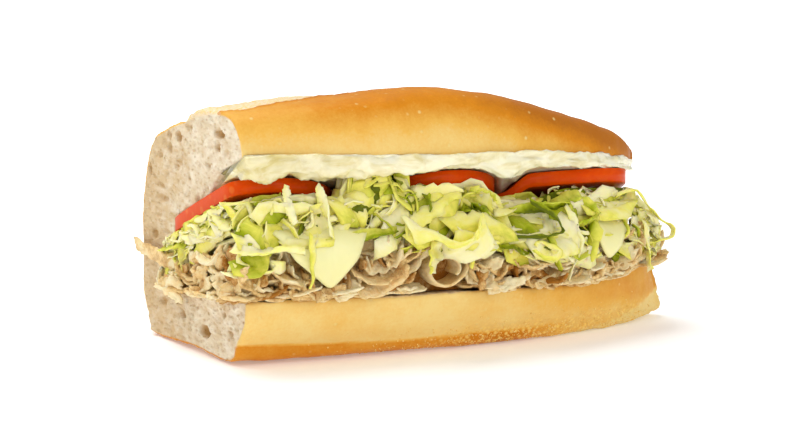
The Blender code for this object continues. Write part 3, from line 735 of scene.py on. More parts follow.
def pit_depth(points, pits):
    """Depth of the bubbles that the cut opened, at each point of the cut face."""
    deep = np.zeros(len(points))
    for y, z, radius_y, radius_z, depth in pits:
        off = np.hypot((points[:, 1] - y) / radius_y, (points[:, 2] - z) / radius_z)
        deep = np.maximum(deep, depth * np.sqrt(np.clip(1 - off**2, 0, 1)))
    return deep


SMALL_BUBBLES = ((40, 0.8, 1.3), (700, 0.35, 0.75))


def crumb_pits():
    """The bubbles of BUBBLES and many smaller ones, scattered evenly enough not to line up."""
    draw = random.Random(5)
    pits = [tuple(v * MM for v in bubble) for bubble in BUBBLES]
    for count, smallest, largest in SMALL_BUBBLES:
        for _ in range(count):
            y, z = draw.uniform(-42, 44) * MM, draw.uniform(1, 87) * MM
            size = draw.uniform(smallest, largest) * MM
            stretch = draw.uniform(1.2, 2.4)
            pits.append((y, z, size * stretch, size, size * draw.uniform(0.4, 0.9)))
    return pits


# The pale folds under the tip, in mm: x, and the height up to which they show.
TIP_FOLD = np.array([(30, 0), (55, 2.2), (69, 4.2), (80, 7), (87, 9.5), (94, 12)]) * MM


def fill_room(points):
    """Draws the upper crumb down on to the tomato near the cut, where the mayonnaise starts further in."""
    for index in np.nonzero((points[:, 0] < CUT_X + 30 * MM) & (points[:, 2] > 45 * MM))[0]:
        x, y, z = points[index]
        inward = x - cut_x(y)
        near = (1 - smooth(4 * MM, 15 * MM, inward)) * smooth(-25 * MM, -11 * MM, y)
        above = (z - upper_cut(x, y)) / (14 * MM)
        if near > 0 and -0.2 < above < 1 and y < HINGE_Y + 2 * MM:
            stretch = (1 - max(above, 0)) ** 2 * (1 - smooth(HINGE_Y - 12 * MM, HINGE_Y - 2 * MM, y))
            points[index, 2] = z - mayo_room(x) * 0.95 * near * stretch


def fill_hinge(points):
    """Brings the crumb of the hinge forward along the cut, up to the ends of the layers."""
    x, y, z = points.T
    back = smooth(15 * MM, 22 * MM, y) * (1 - smooth(HINGE_Y - 1 * MM, HINGE_Y + 7 * MM, y))
    level = smooth(19 * MM, 25 * MM, z) * (1 - smooth(51 * MM, 60 * MM, z))
    move = 11.5 * MM * back * level * (1 - smooth(3 * MM, 14 * MM, x - cut_x(y)))
    points[:, 1] -= move
    points[:, 0] += move * CUT_SLANT


def shape_roll(mesh, rings):
    """Moves the roll's points by what baking, cutting and tearing did, and paints where each finish goes and
    the painted shade in the crumb's bubbles.
    """
    points, outward = coordinates(mesh), normals(mesh)
    x, y, z = points.T
    depth = skin_depth(points, rings)
    crumb = smooth(0.5 * MM, 1.3 * MM, depth) * (1 - smooth(93.0 * MM, 94.0 * MM, x))
    on_cut = 1 - smooth(0.3 * MM, 0.9 * MM, x - cut_x(y))
    broad, middle, fine = (lumps(points, size * MM, 3, seed) for size, seed in ((34, 1), (11, 2), (3.2, 3)))
    tip = smooth(40 * MM, 90 * MM, x)
    rise = crown_share(points)

    # The strip where the top split open, its two edges, and the crease above the base.
    from_front, from_back, on_top = split_edges(points, middle)
    score = smooth(-0.2 * MM, 1.2 * MM, from_front) * smooth(-0.2 * MM, 1.0 * MM, from_back) * on_top
    swell = np.sin(np.pi * np.clip(from_front / np.maximum(from_front + from_back, 1 * MM), 0, 1)) * score
    swell *= 1 - smooth(-52 * MM, -34 * MM, x)
    ear = np.exp(-((from_front / (1.3 * MM)) ** 2)) * on_top
    back_ear = np.exp(-((from_back / (1.2 * MM)) ** 2)) * on_top
    crease_z = 7.6 * MM - 2.2 * MM * smooth(-90 * MM, -20 * MM, x) + 0.8 * MM * broad
    crease = np.exp(-(((z - crease_z) / (0.9 * MM)) ** 2)) * (1 - smooth(-10 * MM, 30 * MM, x))
    move = 0.9 * MM * broad + 0.28 * MM * middle * (1 + tip) + 0.05 * MM * fine
    move += 2.2 * MM * swell - 0.7 * MM * score + 0.45 * MM * score * fine - 0.45 * MM * crease
    move += 0.5 * MM * ear - 0.9 * MM * back_ear
    under_tip = np.interp(x, TIP_FOLD[:, 0], TIP_FOLD[:, 1]) + 0.8 * MM * middle
    folded = (1 - smooth(-0.6 * MM, 0.6 * MM, z - under_tip)) * smooth(30 * MM, 52 * MM, x)
    folds = np.sin(lumps(points, 20 * MM, 2, 4) * 7 + z / MM * 1.9 + x / MM * 0.25)
    move += folded * (0.28 * MM * folds - 0.3 * MM)
    move *= 1 - crumb

    # The open crumb: bubbles and a rough surface, rougher low down and finer inside the slit.
    torn = 1 + 1.3 * (1 - smooth(18 * MM, 26 * MM, z))
    flat = points * np.array([1, 0.5, 1])
    tiny = lumps(flat, 1.1 * MM, 2, 8)
    rough = (0.24 * MM * middle + 0.24 * MM * lumps(flat, 3.0 * MM, 3, 9)) * torn + 0.17 * MM * tiny
    pits = pit_depth(points, crumb_pits()) * on_cut * smooth(0.9 * MM, 1.8 * MM, depth)
    slit_face = crumb * (1 - on_cut)
    move += crumb * rough * (0.45 + 0.55 * on_cut) - pits
    move -= 0.4 * MM * slit_face * np.clip(lumps(points, 2.2 * MM, 2, 6), 0, 1)

    points = points + outward * move[:, None]
    fill_room(points)
    fill_hinge(points)
    hollow = 1.7 * MM * np.exp(-((y / (24 * MM)) ** 2)) * (1 - smooth(CUT_X, CUT_X + 34 * MM, x))
    low = 1 - smooth(0, 10 * MM, z)
    points[:, 2] = np.maximum(points[:, 2] + hollow * low, 0)

    crest = smooth(0.80, 1.0, rise) * (0.45 + 0.55 * smooth(-85 * MM, -35 * MM, x))
    bake = 0.08 + 0.85 * crest + 0.5 * smooth(-20 * MM, 80 * MM, x) * smooth(0.08, 0.2, rise) + 0.4 * ear
    base = (1 - smooth(crease_z - 0.5 * MM, crease_z + 0.5 * MM, z)) * (1 - smooth(14 * MM, 46 * MM, x))
    bake += 0.68 * base + 0.2 * (1 - smooth(2 * MM, 12 * MM, z)) * smooth(-10 * MM, 20 * MM, x)
    bake += 0.45 * smooth(10 * MM, 36 * MM, y) * smooth(10 * MM, 30 * MM, z)
    bake -= 0.8 * folded * (0.75 + 0.25 * folds)
    bake += 0.10 * broad + 0.05 * middle
    grit = (1 - smooth(4 * MM, 12 * MM, z)) * smooth(-30 * MM, 10 * MM, x) * (1 - crumb)
    # Painted shade: the crumb is painted darker deep in its bubbles and in the hollows of its rough surface.
    deep = np.clip(pits / (2.2 * MM) - 0.08, 0, 1) + 0.2 * crumb * np.clip(-rough / (0.4 * MM), 0, 1)
    paint(mesh, "crumb", crumb)
    paint(mesh, "bake", np.clip(bake, 0, 1.2) / 1.2)
    paint(mesh, "score", score)
    paint(mesh, "grit", grit * (1 - 0.6 * folded))
    paint(mesh, "pit", deep)
    set_coordinates(mesh, points)


def roll_material(settings):
    made, tree, shader = new_material("roll", 0.5, (0.08, 0.0015, (1.0, 0.5, 0.2)), Specular_IOR_Level=0.08)
    points = object_points(tree)
    crumb = painted(tree, "crumb")
    mottled = noise_at(tree, points, 90, 4, 0.6)
    speckled = noise_at(tree, points, 900, 3, 0.7)

    # The crust: its tone follows the baking, with pale blisters, cornmeal and the torn strip on top.
    tone = number(tree, "ADD", painted(tree, "bake"), remap(tree, mottled, 0.3, 0.7, -0.07, 0.07))
    tone = number(tree, "ADD", tone, remap(tree, speckled, 0.3, 0.7, -0.05, 0.05), limit=True)
    tones = (settings.crust_pale, settings.crust_golden, settings.crust_deep, settings.crust_brown)
    crust = ramp(tree, tone, list(zip((0.0, 0.3, 0.68, 1.0), tones)))
    blister = remap(tree, cells_at(tree, points, 240), 0.2, 0.09)
    flecks = number(tree, "MULTIPLY", blister, remap(tree, mottled, 0.48, 0.62))
    crust = mix_colour(tree, number(tree, "MULTIPLY", flecks, 0.75), crust, settings.crust_pale)
    meal = remap(tree, cells_at(tree, points, 560), 0.5, 0.2)
    meal = number(tree, "MULTIPLY", meal, number(tree, "MULTIPLY", painted(tree, "grit"), 0.8))
    crust = mix_colour(tree, meal, crust, rgb(250, 216, 120))
    torn = mix_colour(tree, remap(tree, speckled, 0.35, 0.65), settings.crust_pale, settings.crumb)
    crust = mix_colour(tree, number(tree, "MULTIPLY", painted(tree, "score"), 0.85), crust, torn)

    # The crumb: clouded, with a fine grain, and painted shade that darkens it towards the back, in its
    # bubbles and in its pores.
    squat = object_points(tree, (1, 0.5, 1))
    pores = remap(tree, cells_at(tree, squat, 620), 0.45, 0.16)
    grain = noise_at(tree, squat, 1100, 3, 0.7)
    small = number(tree, "MULTIPLY", pores, remap(tree, grain, 0.4, 0.58))
    # Painted shade in the bubbles and pores, mixed towards the pit shade colour.
    shade = number(tree, "ADD", painted(tree, "pit"), number(tree, "MULTIPLY", small, 0.5), limit=True)
    crumb_darkening = remap(tree, noise_at(tree, squat, 260, 4, 0.7), 0.35, 0.66, 0, 0.75)
    # Painted shade: the crumb is darkened towards the back, by the hinge, where shade falls.
    backward = add_node(tree, "ShaderNodeSeparateXYZ", {"Vector": object_points(tree)}).outputs["Y"]
    crumb_darkening = number(tree, "ADD", crumb_darkening, remap(tree, backward, -16 * MM, 38 * MM, 0, 0.7), limit=True)
    clouded_and_shaded_crumb = mix_colour(tree, crumb_darkening, settings.crumb, rgb(212, 186, 146))
    inside = mix_colour(tree, shade, clouded_and_shaded_crumb, settings.crumb_pit_shade)

    wire(shader, "Base Color", mix_colour(tree, crumb, crust, inside))
    wire(shader, "Roughness", remap(tree, crumb, 0, 1, 0.42, 0.85))
    relief = number(tree, "MULTIPLY", speckled, 0.35)
    relief = number(tree, "ADD", relief, number(tree, "MULTIPLY", flecks, 0.8))
    relief = number(tree, "ADD", relief, number(tree, "MULTIPLY", meal, 0.8))
    open_crumb = number(tree, "SUBTRACT", grain, number(tree, "MULTIPLY", small, 1.2))
    heights = {0: crumb, 2: relief, 3: number(tree, "MULTIPLY", open_crumb, 2.2)}
    mixed = add_node(tree, "ShaderNodeMix", heights, data_type="FLOAT")
    bump(tree, shader, mixed.outputs[0], 0.55, 0.35 * MM)
    return made


class SANDWICH_OT_roll(bpy.types.Operator):
    """Makes the roll: a loft, slit open, with a baked crust and an open crumb"""

    bl_idname = "sandwich.roll"
    bl_label = "Roll"

    def execute(self, context):
        settings = context.scene.sandwich_roll
        rings = roll_rings()
        slit = add_object("slit", *loft(slit_rings()))
        roll = add_object("roll", *loft(rings))
        apply_modifier(roll, "BOOLEAN", operation="DIFFERENCE", solver="EXACT", object=slit)
        pattern = roll.copy()
        pattern.data = roll.data.copy()
        context.scene.collection.objects.link(pattern)
        apply_modifier(roll, "REMESH", mode="VOXEL", voxel_size=settings.mesh_size)
        self.divide_cut_face(roll)
        apply_modifier(roll, "SHRINKWRAP", wrap_method="NEAREST_SURFACEPOINT", target=pattern)
        for helper in (slit, pattern):
            bpy.data.objects.remove(helper)
        shape_roll(roll.data, rings)
        finish_piece(roll, "roll", roll_material(settings), "bread_roll")
        return {"FINISHED"}

    def divide_cut_face(self, roll):
        """Splits the faces of the cut end, whose bubbles are finer than the rest."""

        def at_cut(face):
            middle = face.calc_center_median()
            return middle.x < cut_x(middle.y) + 1.2 * MM and face.normal.x < -0.5

        start_editing(roll, "FACE")
        pick(roll, "faces", at_cut)
        bpy.ops.mesh.subdivide(number_cuts=2)
        bpy.ops.object.mode_set(mode="OBJECT")


# Mayonnaise, tomatoes and cheese.


def mayo_depth(x, y):
    """Share of its room that the mayonnaise fills: it is spread in long uneven ridges."""
    ridges = math.sin(95 * x + 60 * y) * 0.4 + math.sin(210 * x - 130 * y + 1.3) * 0.35
    ridges += math.sin(400 * x + 2) * 0.25
    return 0.83 + 0.17 * ridges


# The spread's section, from its back over the lip and round the bead: run from the lip in mm, share of the
# depth below the cut face, share of the smear over the lip, and share of the bead.
MAYO_SECTION = [
    (54, 0, 0, 0), (40, 0, 0, 0), (28, 0, 0, 0), (18, 0, 0, 0), (10, 0, 0, 0), (5, 0, 0, 0),
    (2.4, 0, 0, 0), (1.0, 0, 0.4, 0), (0.5, 0, 0.85, 0), (0.1, 0, 1.0, 0), (-0.3, 0, 0.85, 0),
    (-0.55, 0.1, 0.5, 0), (-0.75, 0.3, 0, 0), (-0.9, 0.5, 0, 0.15), (-0.9, 0.7, 0, 0.4),
    (-0.7, 0.85, 0, 0.75), (-0.3, 0.95, 0, 0.95), (0.3, 1, 0, 1), (1.1, 1, 0, 1), (2.0, 1, 0, 0.95),
    (3.0, 1, 0, 0.7), (4.2, 1, 0, 0.3), (5.6, 1, 0, 0), (9, 1, 0, 0), (16, 1, 0, 0), (24, 1, 0, 0),
    (34, 1, 0, 0), (44, 1, 0, 0), (54, 1, 0, 0),
]  # fmt: skip
MAYO_RINGS = 260
MAYO_BACK_Y = 16 * MM
MAYO_INSET = 9 * MM
BEAD_DEPTH = 3.2 * MM
BEAD_END = 0.8
MAYO_END_X = TOP_TIP_X - 3 * MM
DRIP_X, DRIP_WIDTH, DRIP_DEPTH = 14 * MM, 7.5 * MM, 4.2 * MM


def sag_fill(x, y):
    """Extra depth where the third tomato hangs below the second and the second doesn't cover it."""
    (x2, y2, long2, wide2, _, _), (x3, y3, long3, wide3, sag, lean) = TOMATOES[1:]
    if x < x2:
        return 0
    leaning = y - lean * min(x - x3, 0)
    past_second = smooth(1.0, 1.1, math.hypot((x - x2) / long2, (y - y2) / wide2))
    over_third = 1 - smooth(0.97, 1.05, math.hypot((x - x3) / long3, (leaning - y3) / wide3))
    t = clamp((TOMATO_SAG_TO - x) / (TOMATO_SAG_TO - TOMATO_SAG_FROM), 0, 1)
    return sag * t * t * (3 - 2 * t) * past_second * over_third


def mayo_material(settings):
    made, tree, shader = new_material(
        "mayonnaise", 0.2, (0.35, 0.002, (1.0, 0.85, 0.5)), Coat_Weight=0.25, Coat_Roughness=0.15
    )
    spread = noise_at(tree, object_points(tree, (1, 1.6, 2.2)), 110, 4, 0.55, 0.6)
    along = add_node(tree, "ShaderNodeSeparateXYZ", {"Vector": object_points(tree)}).outputs["X"]
    # Painted shade: the mayonnaise is painted darker and yellower towards the cut end, where it lies shaded
    # over the tomato; the noise adds thin streaks of the same colour.
    shade_towards_cut = remap(tree, along, -35 * MM, -85 * MM, 0, 0.45)
    streaks_and_shade = number(tree, "ADD", remap(tree, spread, 0.45, 0.7, 0, 0.7), shade_towards_cut)
    wire(shader, "Base Color", mix_colour(tree, streaks_and_shade, settings.colour, rgb(214, 196, 122)))
    bump(tree, shader, spread, 0.5, 0.8 * MM)
    return made


class SANDWICH_OT_mayonnaise(bpy.types.Operator):
    """Makes the mayonnaise: a spread layer under the upper jaw with a thick wavy bead along the lip"""

    bl_idname = "sandwich.mayonnaise"
    bl_label = "Mayonnaise"

    def execute(self, context):
        settings = context.scene.sandwich_spread
        rings = [self.ring(i / MAYO_RINGS, settings.proud) for i in range(MAYO_RINGS + 1)]
        mayo = add_object("mayonnaise_spread", *loft(rings))
        finish_piece(mayo, "mayonnaise", mayo_material(settings), "mayonnaise")
        return {"FINISHED"}

    def ring(self, v, proud):
        ring = []
        for k, (run, deep, smear, bead) in enumerate(MAYO_SECTION):
            run *= MM
            x = blend(CUT_X, MAYO_END_X, v)
            y = min(lip_y(x), -4 * MM) - proud + run * (1 - 0.5 * v * v if run > 0 else proud / MM)
            y = min(y, filling_back(x, MAYO_BACK_Y) + run * 0.1)
            ragged = 0.6 * MM * noise.noise(Vector((k * 0.9, 4, 2)))
            start = cut_x(y) + MAYO_INSET * smooth(18 * MM, 28 * MM, run) + ragged
            x = blend(start, MAYO_END_X, v)
            at_front = 1 - smooth(1 * MM, 7 * MM, run)
            wander = noise.fractal(Vector((x / (9 * MM), k * 0.22, 3)), 0.9, 2.0, 4)
            streak = noise.fractal(Vector((x / (22 * MM), k * 0.45, 9)), 0.9, 2.0, 4)
            top = upper_cut(x, y) - GAP + smear * self.smear(x) * (1 + 0.7 * wander)
            depth = (mayo_room(x) - 2 * GAP) * mayo_depth(x, y)
            drop = deep * (depth + sag_fill(x, y + 0.6 * MM))
            drop += bead * BEAD_DEPTH * max(1 - v / BEAD_END, 0) * mayo_depth(x, 0) * (1 + 0.6 * wander)
            drop += bead * (0.8 * MM * wander + 0.6 * MM + self.drip(x))
            y -= at_front * (0.9 * MM * wander + 1.3 * MM * streak)
            ring.append(Vector((x, y, top - drop)))
        return ring

    def drip(self, x):
        """Extra depth of the bead where it runs down between the second and the third tomato."""
        return DRIP_DEPTH * math.exp(-(((x - DRIP_X) / DRIP_WIDTH) ** 2))

    def smear(self, x):
        """How far the spread covers the outside of the lip: more towards the tip."""
        return blend(0.9 * MM, 2.7 * MM, smooth(-20 * MM, 45 * MM, x)) * (1 - smooth(70 * MM, 84 * MM, x))


def tomato_material(settings):
    made, tree, shader = new_material(
        "tomato",
        0.3,
        (0.04, 0.003, (1.0, 0.2, 0.08)),
        Coat_Weight=0.1,
        Coat_Roughness=0.12,
        Specular_IOR_Level=0.03,
    )
    points = object_points(tree)
    fibres = noise_at(tree, points, 260, 4, 0.6)
    skin = mix_colour(tree, remap(tree, fibres, 0.4, 0.7, 0, 0.35), settings.skin, rgb(230, 96, 10))
    flesh = mix_colour(tree, remap(tree, fibres, 0.35, 0.7, 0, 0.5), settings.flesh, rgb(220, 98, 30))
    seeds = remap(tree, cells_at(tree, points, 230), 0.35, 0.2)
    jelly = mix_colour(tree, seeds, settings.skin, settings.seeds)
    flesh = mix_colour(tree, painted(tree, "chamber"), flesh, jelly)
    wire(shader, "Base Color", mix_colour(tree, painted(tree, "rim"), flesh, skin))
    bump(tree, shader, fibres, 0.25, 0.4 * MM)
    return made


# How softly the first slice's edge turns along the sandwich's cut. For a slice of radius 1: the points round
# its rim, the rim's bevel, and the widths of the rings that divide its faces.
CORNER_ROUND = 2.5 * MM
RIM_POINTS = 120
RIM_BEVEL = 0.034
FACE_RINGS = (0.05, 0.05, 0.06, 0.07, 0.08, 0.09, 0.1, 0.1, 0.12, 0.13)


class SANDWICH_OT_tomatoes(bpy.types.Operator):
    """Makes the three tomato slices, each with a rounded glossy rim and seed chambers"""

    bl_idname = "sandwich.tomatoes"
    bl_label = "Tomatoes"

    def execute(self, context):
        made = tomato_material(context.scene.sandwich_tomato)
        for index, sizes in enumerate(TOMATOES, 1):
            disc = self.disc(f"tomato_{index}")
            self.lay(disc.data, sizes, index)
            finish_piece(disc, "tomato", made, f"tomato_slice_{index}")
        return {"FINISHED"}

    def disc(self, name):
        """A flat disc of radius 1 and thickness 1, with rings on its two faces and a rounded rim."""

        def at_rim(edge):
            flat = abs(edge.verts[0].co.z - edge.verts[1].co.z) < 1e-6
            return flat and all(v.co.xy.length > 0.99 for v in edge.verts)

        bpy.ops.object.select_all(action="DESELECT")
        bpy.ops.mesh.primitive_cylinder_add(vertices=RIM_POINTS, radius=1, depth=1, end_fill_type="NGON")
        disc = bpy.context.active_object
        disc.name = name
        start_editing(disc, "FACE")
        for side in (-1, 1):
            pick(disc, "faces", lambda face: face.normal.z * side > 0.9)
            for width in FACE_RINGS:
                bpy.ops.mesh.inset(thickness=width)
            bpy.ops.mesh.poke()
        bpy.ops.mesh.select_mode(type="EDGE")
        pick(disc, "edges", at_rim)
        bpy.ops.mesh.bevel(offset=RIM_BEVEL, segments=4, affect="EDGES")
        bpy.ops.object.mode_set(mode="OBJECT")
        return disc

    def lay(self, mesh, sizes, seed):
        """Lays the disc under the mayonnaise at its real size, and cuts it off at the sandwich's cut."""
        centre_x, centre_y, radius_x, radius_y, sag, lean = sizes
        points = coordinates(mesh)
        spread = np.hypot(points[:, 0], points[:, 1])
        lobes = np.cos(np.arctan2(points[:, 1], points[:, 0]) * 5 + seed)
        chamber = smooth(0.30, 0.38, spread) * (1 - smooth(0.76, 0.86, spread)) * smooth(-0.35, 0.1, lobes)
        laid = []
        for (px, py, pz), ring in zip(points, spread):
            angle = math.atan2(py, px)
            ripple = 1 + 0.012 * math.sin(3 * angle + seed) + 0.006 * math.sin(7 * angle + 2 * seed)
            wanted = centre_x + radius_x * px * ripple
            y = centre_y + radius_y * py * ripple + lean * min(wanted - centre_x, 0)
            limit = cut_x(y) - 1.2 * MM
            past = wanted - limit
            x = limit + (past + math.hypot(past, CORNER_ROUND)) / 2
            down = (0.5 - pz) * (TOMATO_THICK - GAP)
            bulge = 0.35 * MM * math.sin(math.pi * (0.5 - pz)) * smooth(0.97, 1.0, ring)
            x, y = x + bulge * math.cos(angle), y + bulge * math.sin(angle)
            laid.append((x, y, tomato_top(x, y, sag) - down))
        laid = np.array(laid)
        jelly = lumps(laid, 2.2 * MM, 2, seed)
        laid[:, 2] -= np.sign(points[:, 2]) * chamber * (0.25 + 0.2 * jelly) * MM
        at_cut = 1 - smooth(0.2 * MM, 1.5 * MM, laid[:, 0] - cut_x(laid[:, 1]))
        paint(mesh, "rim", smooth(0.955, 0.985, spread) * (1 - 0.5 * at_cut))
        paint(mesh, "chamber", np.clip(chamber + 0.5 * at_cut, 0, 1))
        set_coordinates(mesh, laid)


def cheese_material(settings):
    made, tree, shader = new_material("cheese", 0.28, (0.3, 0.003, (1.0, 0.8, 0.35)), Specular_IOR_Level=0.3)
    soft = noise_at(tree, object_points(tree), 60, 3)
    tint = mix_colour(tree, remap(tree, soft, 0.35, 0.7, 0, 0.4), settings.colour, rgb(238, 222, 138))
    wire(shader, "Base Color", tint)
    folds = noise_at(tree, object_points(tree, (1, 1, 0.5)), 130, 2, 0.4, 0.8)
    bump(tree, shader, folds, 0.6, 1.2 * MM)
    return made


class SANDWICH_OT_cheese(bpy.types.Operator):
    """Makes the four square cheese slices, draped over the meat"""

    bl_idname = "sandwich.cheese"
    bl_label = "Cheese"
    cells = 44

    def execute(self, context):
        settings = context.scene.sandwich_cheese
        made = cheese_material(settings)
        for index, sizes in enumerate(CHEESES, 1):
            cheese = self.drape_square(index, sizes, settings.thickness)
            self.trim_at_cut(cheese)
            finish_piece(cheese, "cheese", made, f"cheese_slice_{index}")
        return {"FINISHED"}

    def drape_square(self, index, sizes, thickness):
        """A square with rounded corners, laid over the heap so that its corners hang down."""
        centre_x, centre_s, side, turn, layer = sizes
        spin = Matrix.Rotation(math.radians(turn), 2)

        def place(i, j, level):
            a, b = i / self.cells - 0.5, j / self.cells - 0.5
            corner = (abs(2 * a) ** 24 + abs(2 * b) ** 24) ** (1 / 24)
            rounding = min(1, 1 / corner) if corner > 1 else 1
            flat = spin @ Vector((a * rounding * side, b * rounding * side))
            s, x = centre_s + flat.y, centre_x + flat.x
            wave = noise.fractal(Vector((x / (16 * MM), s / (16 * MM), index)), 1.0, 2.0, 2)
            over = smooth(-4 * MM, 8 * MM, s - bend_run(x))
            fold = noise.noise(Vector((x / (9 * MM), s / (30 * MM), index * 3)))
            lift = layer * CHEESE_LIFT + 0.35 * MM * wave + over * (1.0 + 0.8 * wave + 1.6 * fold) * MM
            trim = 0.3 if i in (0, self.cells) or j in (0, self.cells) else 0
            return drape(x, s, lift + thickness * abs(level - trim))

        grids = [grid_of(self.cells + 1, self.cells + 1, lambda i, j: place(i, j, level)) for level in (1, 0)]
        return add_object(f"cheese_{index}", *slab(*grids))

    def trim_at_cut(self, cheese):
        """Cuts the slice off where it passes the sandwich's cut."""
        start_editing(cheese, "VERT")
        bpy.ops.mesh.select_all(action="SELECT")
        bpy.ops.mesh.bisect(
            plane_co=(CUT_X + GAP, 0, 0), plane_no=(-1, -CUT_SLANT, 0), use_fill=True, clear_outer=True
        )
        bpy.ops.mesh.select_all(action="SELECT")
        bpy.ops.mesh.normals_make_consistent(inside=False)
        bpy.ops.object.mode_set(mode="OBJECT")


# The two heaps.

# Where the cheese's corners hang over the meat in plain view, along X.
CHEESE_SHOWS = [(-70 * MM, -44 * MM), (-16 * MM, 12 * MM)]


TOMATO_NODES = tuple(f"tomato_slice_{k}" for k in (1, 2, 3))
CHEESE_NODES = tuple(f"cheese_slice_{k}" for k in (1, 2, 3, 4))

# The space that the shreds and flakes may take.
REACH_X = (-102.5 * MM, 99.5 * MM)
REACH_Y = -63.5 * MM
REACH_Z = 16 * MM


def in_reach(grid):
    """True for a piece that stays inside the space that the heaps may take."""
    points = [point for row in grid for point in row]
    if min(p.z for p in points) < REACH_Z or min(p.y for p in points) < REACH_Y:
        return False
    return min(p.x for p in points) > REACH_X[0] and max(p.x for p in points) < REACH_X[1]


TRIES = 30


def settle(draw_grid, wanted, thick, core, others):
    """Draws each piece again until it crosses none of the others and meets the core or an earlier piece."""
    joined = [tree_of(core)]
    made = []
    for index in range(wanted):
        for _ in range(TRIES):
            grid, tint = draw_grid(index)
            if not in_reach(grid):
                continue
            tree = grid_tree(grid)
            if any(tree.overlap(other) for other in others):
                continue
            if any(tree.overlap(other) for other in reversed(joined)):
                joined.append(tree)
                made.append((grid, tint, thick))
                break
    return made


def join_pieces(core, made, attribute, core_shade_tint, edge):
    """One mesh with the core and all the pieces, each point painted with its piece's tint; the core's tint is
    dark, as painted shade in the gaps between the pieces.
    """
    bm = bmesh.new()
    bm.from_mesh(core.data)
    layer = bm.verts.layers.float.new(attribute)
    across = bm.verts.layers.float.new("across")
    for vertex in bm.verts:
        vertex[layer] = core_shade_tint
        vertex[across] = 0.5
    for grid, tint, thick in made:
        vertices, faces = slab(*thick_grid(grid, thick, edge))
        columns, count = len(grid[0]), len(grid) * len(grid[0])
        added = [bm.verts.new(v) for v in vertices]
        for k, vertex in enumerate(added):
            vertex[layer] = tint
            vertex[across] = (k % count % columns) / (columns - 1)
        for face in faces:
            bm.faces.new([added[k] for k in face])
    bmesh.ops.recalc_face_normals(bm, faces=bm.faces)
    bm.to_mesh(core.data)
    bm.free()


def lettuce_material(settings):
    made, tree, shader = new_material(
        "lettuce", 0.4, (0.35, 0.0015, (0.7, 1.0, 0.25)), Specular_IOR_Level=0.15
    )
    veins = noise_at(tree, object_points(tree), 160, 4, 0.6, 0.8)
    tone = number(tree, "ADD", painted(tree, "leaf"), remap(tree, veins, 0.3, 0.7, -0.16, 0.16))
    tone = number(tree, "ADD", tone, remap(tree, painted(tree, "across"), 0, 1, -0.16, 0.2), limit=True)
    # The darkest stop is painted shade: it mostly colours the core that shows in the gaps between the
    # ribbons.
    stops = [(0.0, settings.pale), (0.4, settings.yellow), (0.78, settings.green), (1.0, rgb(96, 104, 4))]
    wire(shader, "Base Color", ramp(tree, tone, stops))
    bump(tree, shader, veins, 0.5, 0.8 * MM)
    return made


# Ribbons that stand out one by one: width, tint, and the points of the middle line, in millimetres.
STRANDS = [
    (3.4, 0.08, [(36, -36, 50.5), (37.8, -39, 45.5), (38.1, -40.5, 41), (39.6, -41, 37), (38, -40, 31),
                 (36.5, -37, 22.5)]),
    (2.6, 0.95, [(12, -46, 41.5), (19.2, -46, 41.2), (26.8, -45.5, 41), (31.4, -44.5, 43), (29.8, -43, 47),
                 (24.9, -42, 50.5), (20.2, -41, 53.5)]),
    (2.0, 0.35, [(17.2, -51, 37.3), (20, -53, 35), (24.5, -53, 34.4), (27.3, -51, 36), (25.4, -48, 37.7),
                 (21.4, -47, 39.5), (18.6, -49, 38.2)]),
    (2.4, 0.2, [(64, -22, 51), (73.4, -19, 52), (79.2, -18, 45.5), (84, -18, 41), (89.4, -18, 37),
                (88.7, -19, 33.8), (81.8, -22, 33.5), (74, -25, 33.5)]),
    (3.2, 0.0, [(-71.7, -44.5, 63.5), (-72.4, -47, 59.5), (-71.9, -49, 55), (-70.6, -50, 51)]),
    (3.6, 0.1, [(-60.8, -44, 63), (-59.8, -46, 58), (-58.7, -49, 52), (-58.1, -51, 46)]),
    (3.0, 0.45, [(-3, -42, 58.5), (0.5, -43.5, 58.5), (4, -44, 57), (6, -43, 54)]),
    (13.0, 0.14, [(-30, -49, 47), (-22, -51, 45), (-12, -52.5, 40), (-5, -52, 41.5), (0, -50.5, 46)]),
    (5.0, 0.05, [(-92, -47, 44), (-84, -50, 42.5), (-76, -51, 43.5), (-68, -51, 42)]),
    (4.5, 0.5, [(32, -40, 43), (38, -38.5, 43.5), (44, -36.5, 44), (50, -34, 44.5)]),
    (4.0, 0.8, [(14, -40, 50), (22, -39, 50.5), (30, -38, 50.5), (38, -36, 51)]),
]  # fmt: skip
STRANDS_FROM = 240


